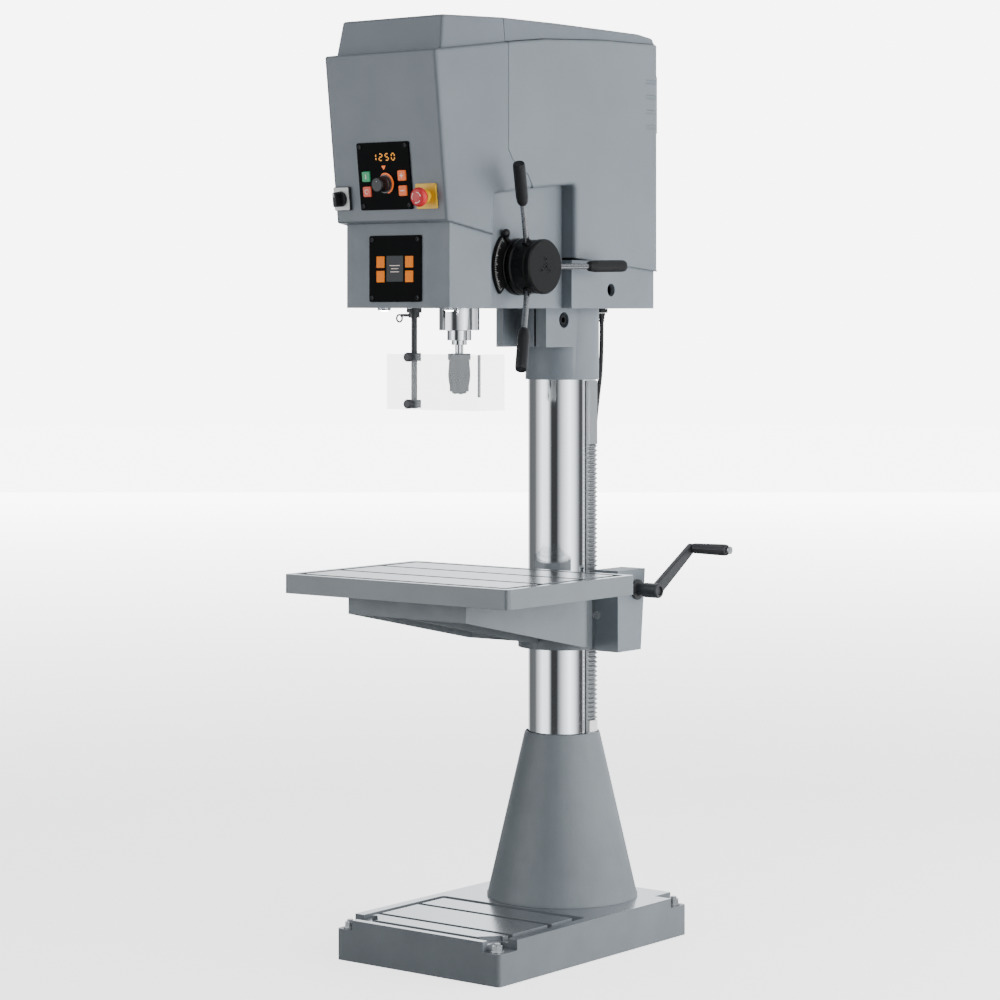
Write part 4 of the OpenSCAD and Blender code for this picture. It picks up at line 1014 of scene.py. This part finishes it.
def build_chuck():
    place = spindle_place(CHUCK_FOOT)
    outer = [(16.6, 11.3), (17.6, 16), (19.4, 24), (21.2, 33), (22, 42), (21.9, 50), (21.1, 58), (20.5, 64),
             (20.3, 68), (20.6, 72.3)]
    profile = [(19.05, 11.3)] + outer + [(19.05, 72.3), (19.05, 11.3)]
    bm = lathe(bmesh.new(), profile, 240, place, grooves(60, 0.22, 20.2, 36, 60))
    piece(bm, "chuck_sleeve_skin", "satin_chuck", "chuck_sleeve", ["chuck_sleeve"])
    body = [(0, 24), (7, 24), (7, 7), (13.2, 7), (14, 7.8), (14.4, 10.8), (18, 11), (18, 73), (22.2, 73),
            (22.6, 73.5), (22.6, 85.2), (21.6, 86), (11, 86), (8.6, 83), (0, 83)]
    obj = to_object(lathe(bmesh.new(), body, 96, place), "chuck_core")
    jaws = []
    for k in range(3):
        tilted = spindle_place(0) @ spin(90 + 120 * k) @ at((6.5, 0, JAW_FOOT)) @ spin(JAW_TILT, "Y")
        bm = lathe(bmesh.new(), [(0, -2), (3.9, -2), (3.9, 44), (0, 44)], 32, tilted)
        jaws.append(to_object(bm, "jaw_hole"))
    bm = bmesh.new()
    for k in range(3):
        across = spindle_place(CHUCK_FOOT + 79.3) @ spin(30 + 120 * k) @ TURN_Y
        lathe(bm, [(0, 17), (3.2, 17), (3.2, 30), (0, 30)], 24, across)
    cut(obj, to_object(bm, "key_holes"), *jaws)
    dress(obj, "satin_chuck", "spindle", ["chuck_body"])


def build_guard_panel():
    x, y, thick = GUARD_X, GUARD_FRONT, GUARD_THICK
    outer = fillet([(-x, y), (x, y), (x, GUARD_BACK)], GUARD_ROUND, 6)
    inner = fillet([(-x, y + thick), (x - thick, y + thick), (x - thick, GUARD_BACK)], GUARD_ROUND - thick, 6)
    obj = to_object(plate(bmesh.new(), outer + inner[::-1], GUARD_LOW, GUARD_HIGH), "guard_panel")
    round_edges(obj, 0.5, 2, 50)
    holes = bmesh.new()
    for z in KNOB_HEIGHTS:
        lathe(holes, [(0, -6), (3.1, -6), (3.1, 6), (0, 6)], 24, at((ROD_AT[0], y, z)) @ TURN_X)
    cut(obj, to_object(holes, "guard_holes"))
    dress(obj, "clear_sheet", "guard_shield", ["guard_shield"], 40)
    # A dark grey strip just inside the guard's bend: painted reflection, standing in for the dark reflection
    # and refraction in the clear sheet's bend. The guard has no such strip.
    painted_reflection_outline = rectangle(3, 7, 0.8, (x - 4.6, y + 7))
    bm = plate(bmesh.new(), painted_reflection_outline, GUARD_LOW + 26, GUARD_HIGH - 0.6)
    piece(bm, "guard_painted_bend_reflection", "grey_dial_seat_and_painted_bend_reflection", "guard_shield", (), 0.3, 2)


def build_guard_knobs():
    bm = bmesh.new()
    profile = [(0, 0.2), (7, 0.2), (7, 2.6), (9.5, 3.6), (9.5, 12), (7.6, 14), (0, 14.4)]
    for z in KNOB_HEIGHTS:
        place = at((ROD_AT[0], GUARD_FRONT, z)) @ TURN_X
        spun(bm, profile, [0, 0, 0, 1, 2, 1, 0], 3, 96, place, grooves(12, 0.7, 8.5, 3, 13))
        lathe(bm, [(0, -10), (3, -10), (3, 0.4), (0, 0.4)], 24, place)
        plate(bm, rectangle(20, 17.6, 2.5, (ROD_AT[0], -410.1)), z - 8, z + 8)
    obj = to_object(bm, "guard_clamp_knobs")
    round_edges(obj, 0.5, 2, 50)
    rod = lathe(bmesh.new(), [(0, 1080), (6.05, 1080), (6.05, 1215), (0, 1215)], 48, at((*ROD_AT, 0)))
    cut(obj, to_object(rod, "rod_hole"))
    dress(obj, "crank_paint", "guard_shield", ["guard_clamps"])


def build_lamps():
    glow, rims = bmesh.new(), bmesh.new()
    for x in (-LAMP_X, LAMP_X):
        place = at((x, LAMP_Y, LAMP_Z)) @ spin(180, "X")
        spun(glow, [(0, 0), (9, 0), (9, 4.4), (6, 6), (0, 6.4)], [0, 0, 1, 2, 0], 3, 48, place)
        spun(rims, [(9.2, 0), (13, 0), (13, 3.2), (11.4, 4.4), (9.2, 4.4), (9.2, 0)], 0.4, 2, 48, place)
    piece(glow, "lamp_lenses", "lamp", "machine", ["work_lights"])
    piece(rims, "lamp_rims", "zinc", "machine", ())


# -------------------- crank

CRANK_TURN = 32
CRANK_L = 149
CRANK_HUB_X = 212
BOSS_R, TIP_R = 13, 9.5


def half_round(x, r, start):
    """Half a circle about (x, 0), from the angle start onwards."""
    angles = [radians(start + 15 * k) for k in range(13)]
    return [(x + r * cos(a), r * sin(a)) for a in angles]


def build_crank():
    axis = axis_place("crank_turn")
    straight = along_x(0, axis.y, axis.z)
    turned = straight @ spin(CRANK_TURN)
    tip = turned @ at((CRANK_L, 0, CRANK_HUB_X))
    boss = [(0, 155.3), (21, 155.3), (21, 159), (19.6, 160), (12.4, 160.4), (12, 161.5), (12, 173), (13, 175),
            (15, 176), (15, 209.5), (13.4, 212), (9.4, 212), (9, 207.5), (0, 207.5)]
    bm = spun(bmesh.new(), boss, 0.5, 2, 48, straight)
    piece(bm, "crank_boss", "crank_paint", "crank", ["crank_arm"])
    outline = half_round(0, BOSS_R, 90) + half_round(CRANK_L, TIP_R, -90)
    bm = plate(bmesh.new(), outline, CRANK_HUB_X - 16, CRANK_HUB_X - 4, turned)
    piece(bm, "crank_bar", "crank_paint", "crank", (), 2.2, 4)
    pin = [(0, -5), (5, -5), (5, 84), (8, 85), (8, 88), (6, 89), (0, 89)]
    piece(spun(bmesh.new(), pin, 0.4, 2, 32, tip), "crank_pin", "zinc", "crank", ())
    handle = [(5.05, 0), (9, 0), (10.6, 3), (11.2, 30), (12, 76), (11.3, 82.5), (8.6, 84.4), (8.6, 82),
              (5.05, 82), (5.05, 0)]
    bm = spun(bmesh.new(), handle, [0, 1, 3, 10, 6, 2, 0.4, 0, 0, 0], 4, 144, tip @ at((0, 0, -3.7)),
              grooves(18, 0.5, 10, 6, 78))
    piece(bm, "crank_handle", "crank_paint", "crank_grip", ["crank_grip"])


# -------------------- mains lead

CORD_D = 9
CORD_ROUTE = [
    (22, 108, 1262), (22, 108, 1230), (21, 108, 1190), (18, 109, 1150), (12, 110, 1115),
    (3, 114, 1070), (-10, 122, 1010), (-25, 134, 940), (-38, 145, 860), (-45, 152, 780),
    (-48, 156, 700), (-49, 159, 600), (-49, 162, 500), (-48, 164, 400), (-47, 167, 300),
    (-46, 171, 200), (-46, 176, 120), (-48, 183, 70), (-53, 192, 34), (-62, 203, 13),
    (-76, 216, 6), (-94, 232, 5), (-112, 250, 5), (-128, 272, 5), (-146, 290, 5), (-170, 297, 5)]
PLUG_ROUTE = [
    (-249, 222, 13.5), (-249, 210, 13.5), (-249, 198, 13), (-249, 186, 11), (-249, 174, 9),
    (-249, 162, 8), (-249, 150, 8)]
COIL_AT = (-190, 235)
COIL_WIDE, COIL_NARROW = 59, 41.5
COIL_LOW, COIL_RISE = 4.6, 9
TURNS, STEPS = 3, 20
GLAND_AT = (22, 108, 0)
PLUG_AT = (-249, 110, 0)


def coil_points():
    """Three turns inwards on the floor and three outwards on top of them, then a quarter turn to the plug's
    side."""
    points = []
    layer = TURNS * STEPS
    for k in range(2 * layer + STEPS // 4 + 1):
        on_top = max(k - layer, 0)
        a = pi / 2 + 2 * pi * k / STEPS
        inward = min(k / layer, 1) - min(on_top / layer, 1)
        r = COIL_WIDE + (COIL_NARROW - COIL_WIDE) * inward
        z = COIL_LOW + COIL_RISE * min(on_top / 8, 1)
        points.append((COIL_AT[0] + r * cos(a), COIL_AT[1] + r * sin(a), z))
    return points


def build_cord():
    route = [Vector(p) for p in CORD_ROUTE + coil_points() + PLUG_ROUTE]
    curve = bpy.data.curves.new("mains_lead", "CURVE")
    curve.dimensions = "3D"
    spline = curve.splines.new("NURBS")
    spline.points.add(len(route) - 1)
    for point, p in zip(spline.points, route):
        point.co = (*(p * MM), 1)
    spline.use_endpoint_u = True
    spline.order_u = 3
    spline.resolution_u = 4
    curve.bevel_depth = CORD_D / 2 * MM
    curve.bevel_resolution = 6
    curve.use_fill_caps = True
    obj = link(bpy.data.objects.new("mains_lead", curve))
    curve.materials.append(materials["rubber"])
    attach(obj, "machine")
    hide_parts("power_cord", "cord_coil")
    length = sum((b - a).length for a, b in zip(route, route[1:])) * MM
    return obj, length, route[0] * MM


def build_plug():
    place = at(PLUG_AT) @ spin(-90)
    outline = [(-24, -12), (-12, -18), (24, -18), (24, 18), (-12, 18), (-24, 12)]
    bm = plate(bmesh.new(), fillet(outline, [4, 6, 5, 5, 6, 4], 4, True), 0, 30, place)
    piece(bm, "plug_body", "black_plastic", "machine", ["plug"], 3, 4)
    bm = bmesh.new()
    tail = place @ at((-40, 0, 8)) @ TURN_Y
    profile = []
    for k in range(7):
        z, r = k * 2.6, 5.2 + k * 0.4
        profile += [(r, z), (r, z + 1.6), (r - 0.5, z + 1.8), (r - 0.5, z + 2.4)]
    lathe(bm, [(0, 0)] + profile + [(0, profile[-1][1])], 32, tail)
    piece(bm, "plug_tail", "rubber", "machine", ())
    bm = bmesh.new()
    for y in (-9.5, 9.5):
        pin = place @ at((23, y, 15)) @ TURN_Y
        lathe(bm, [(0, 0), (2.4, 0), (2.4, 17), (1.6, 19), (0, 19.5)], 24, pin)
    piece(bm, "plug_pins", "bright_steel", "machine", ())


def build_gland():
    place = at(GLAND_AT)
    sleeve = [(0, 1262), (5.6, 1262), (5.8, 1266), (5.2, 1266.4), (5.2, 1268), (6.4, 1268.4), (6.6, 1272),
              (6, 1272.4), (6, 1274), (7.3, 1274.4), (7.8, 1280.4), (0, 1280.4)]
    bm = lathe(bmesh.new(), sleeve, 32, place)
    nut = [(0, 1280.6), (12, 1280.6), (13, 1281.6), (13, 1289.2), (8, 1289.2), (8, 1305), (0, 1305)]
    lathe(bm, nut, 48, place, lambda a, r, h: hexagon(a, 1.86 * r) if r > 11 else r)
    piece(bm, "gland_nut", "black_plastic", "machine", ["cable_gland"])


# -------------------- CAD nodes that are shown as they are

# Node: its material and the width of its softened edges
SHOWN = {
    "base_plate": ("base_iron", 2.5), "levelling_bolts": ("zinc", 0.4),
    "column_foot": ("iron_paint", 2.5), "assembly_screws": ("black_oxide", 0.4), "column": ("chrome", 0),
    "head_casting": ("head_paint", 3), "motor": ("crank_paint", 0.6), "motor_plate": ("iron_paint", 0.8),
    "drive_belt": ("rubber", 0.5), "spring_housing": ("black_plastic", 1.2), "rack": ("rack_steel", 0),
    "rack_clip": ("white_clip", 0.8), "table_bracket": ("iron_paint", 3), "table": ("table_iron", 1.6),
    "table_bolts": ("black_oxide", 0.4), "lift_housing": ("body_paint", 2.5),
    "worm_shaft": ("turned_steel", 0), "lift_pinion": ("turned_steel", 0),
    "table_clamp_lever": ("crank_paint", 0.8), "feed_shaft": ("turned_steel", 0.4),
    "quill": ("quill_chrome", 0.3), "spindle_bearings": ("turned_steel", 0.4),
    "spindle": ("chrome", 0.5), "chuck_jaw_1": ("bright_steel", 0.2),
    "chuck_jaw_2": ("bright_steel", 0.2), "chuck_jaw_3": ("bright_steel", 0.2),
    "spindle_pulley": ("turned_steel", 0.5), "motor_pulley": ("turned_steel", 0.5),
    "guard_rod": ("crank_paint", 0.4)}


def dress_cad(name, material, soften):
    obj = nodes[name]
    for index in range(max(1, len(obj.material_slots))):
        if not obj.material_slots:
            obj.data.materials.append(materials[material])
        obj.material_slots[index].material = materials[material]
    if soften:
        weld = obj.modifiers.new("weld", "WELD")
        weld.merge_threshold = 0.00002
        flat = obj.modifiers.new("flat", "DECIMATE")
        flat.decimate_type = "DISSOLVE"
        flat.angle_limit = radians(0.6)
        bevel(obj, soften, 3, 35)
        obj.data.polygons.foreach_set("use_smooth", [True] * len(obj.data.polygons))
        flatten_shading(obj)


def main():
    add_camera()
    add_world()
    add_lights()
    make_materials()
    add_surround()
    add_floor()
    add_backdrop()
    lead, length, exit_at = build_cord()
    build_plug()
    build_gland()
    build_front_cover()
    build_rear_cover()
    build_vent_liners()
    build_lids()
    build_panel_screws()
    build_control_panel()
    build_keys()
    build_dial()
    build_display()
    build_main_switch()
    build_estop()
    build_hub()
    build_levers()
    build_depth_ring()
    build_chuck()
    build_guard_panel()
    build_guard_knobs()
    build_lamps()
    build_crank()
    for name, (material, soften) in SHOWN.items():
        dress_cad(name, material, soften)


main()
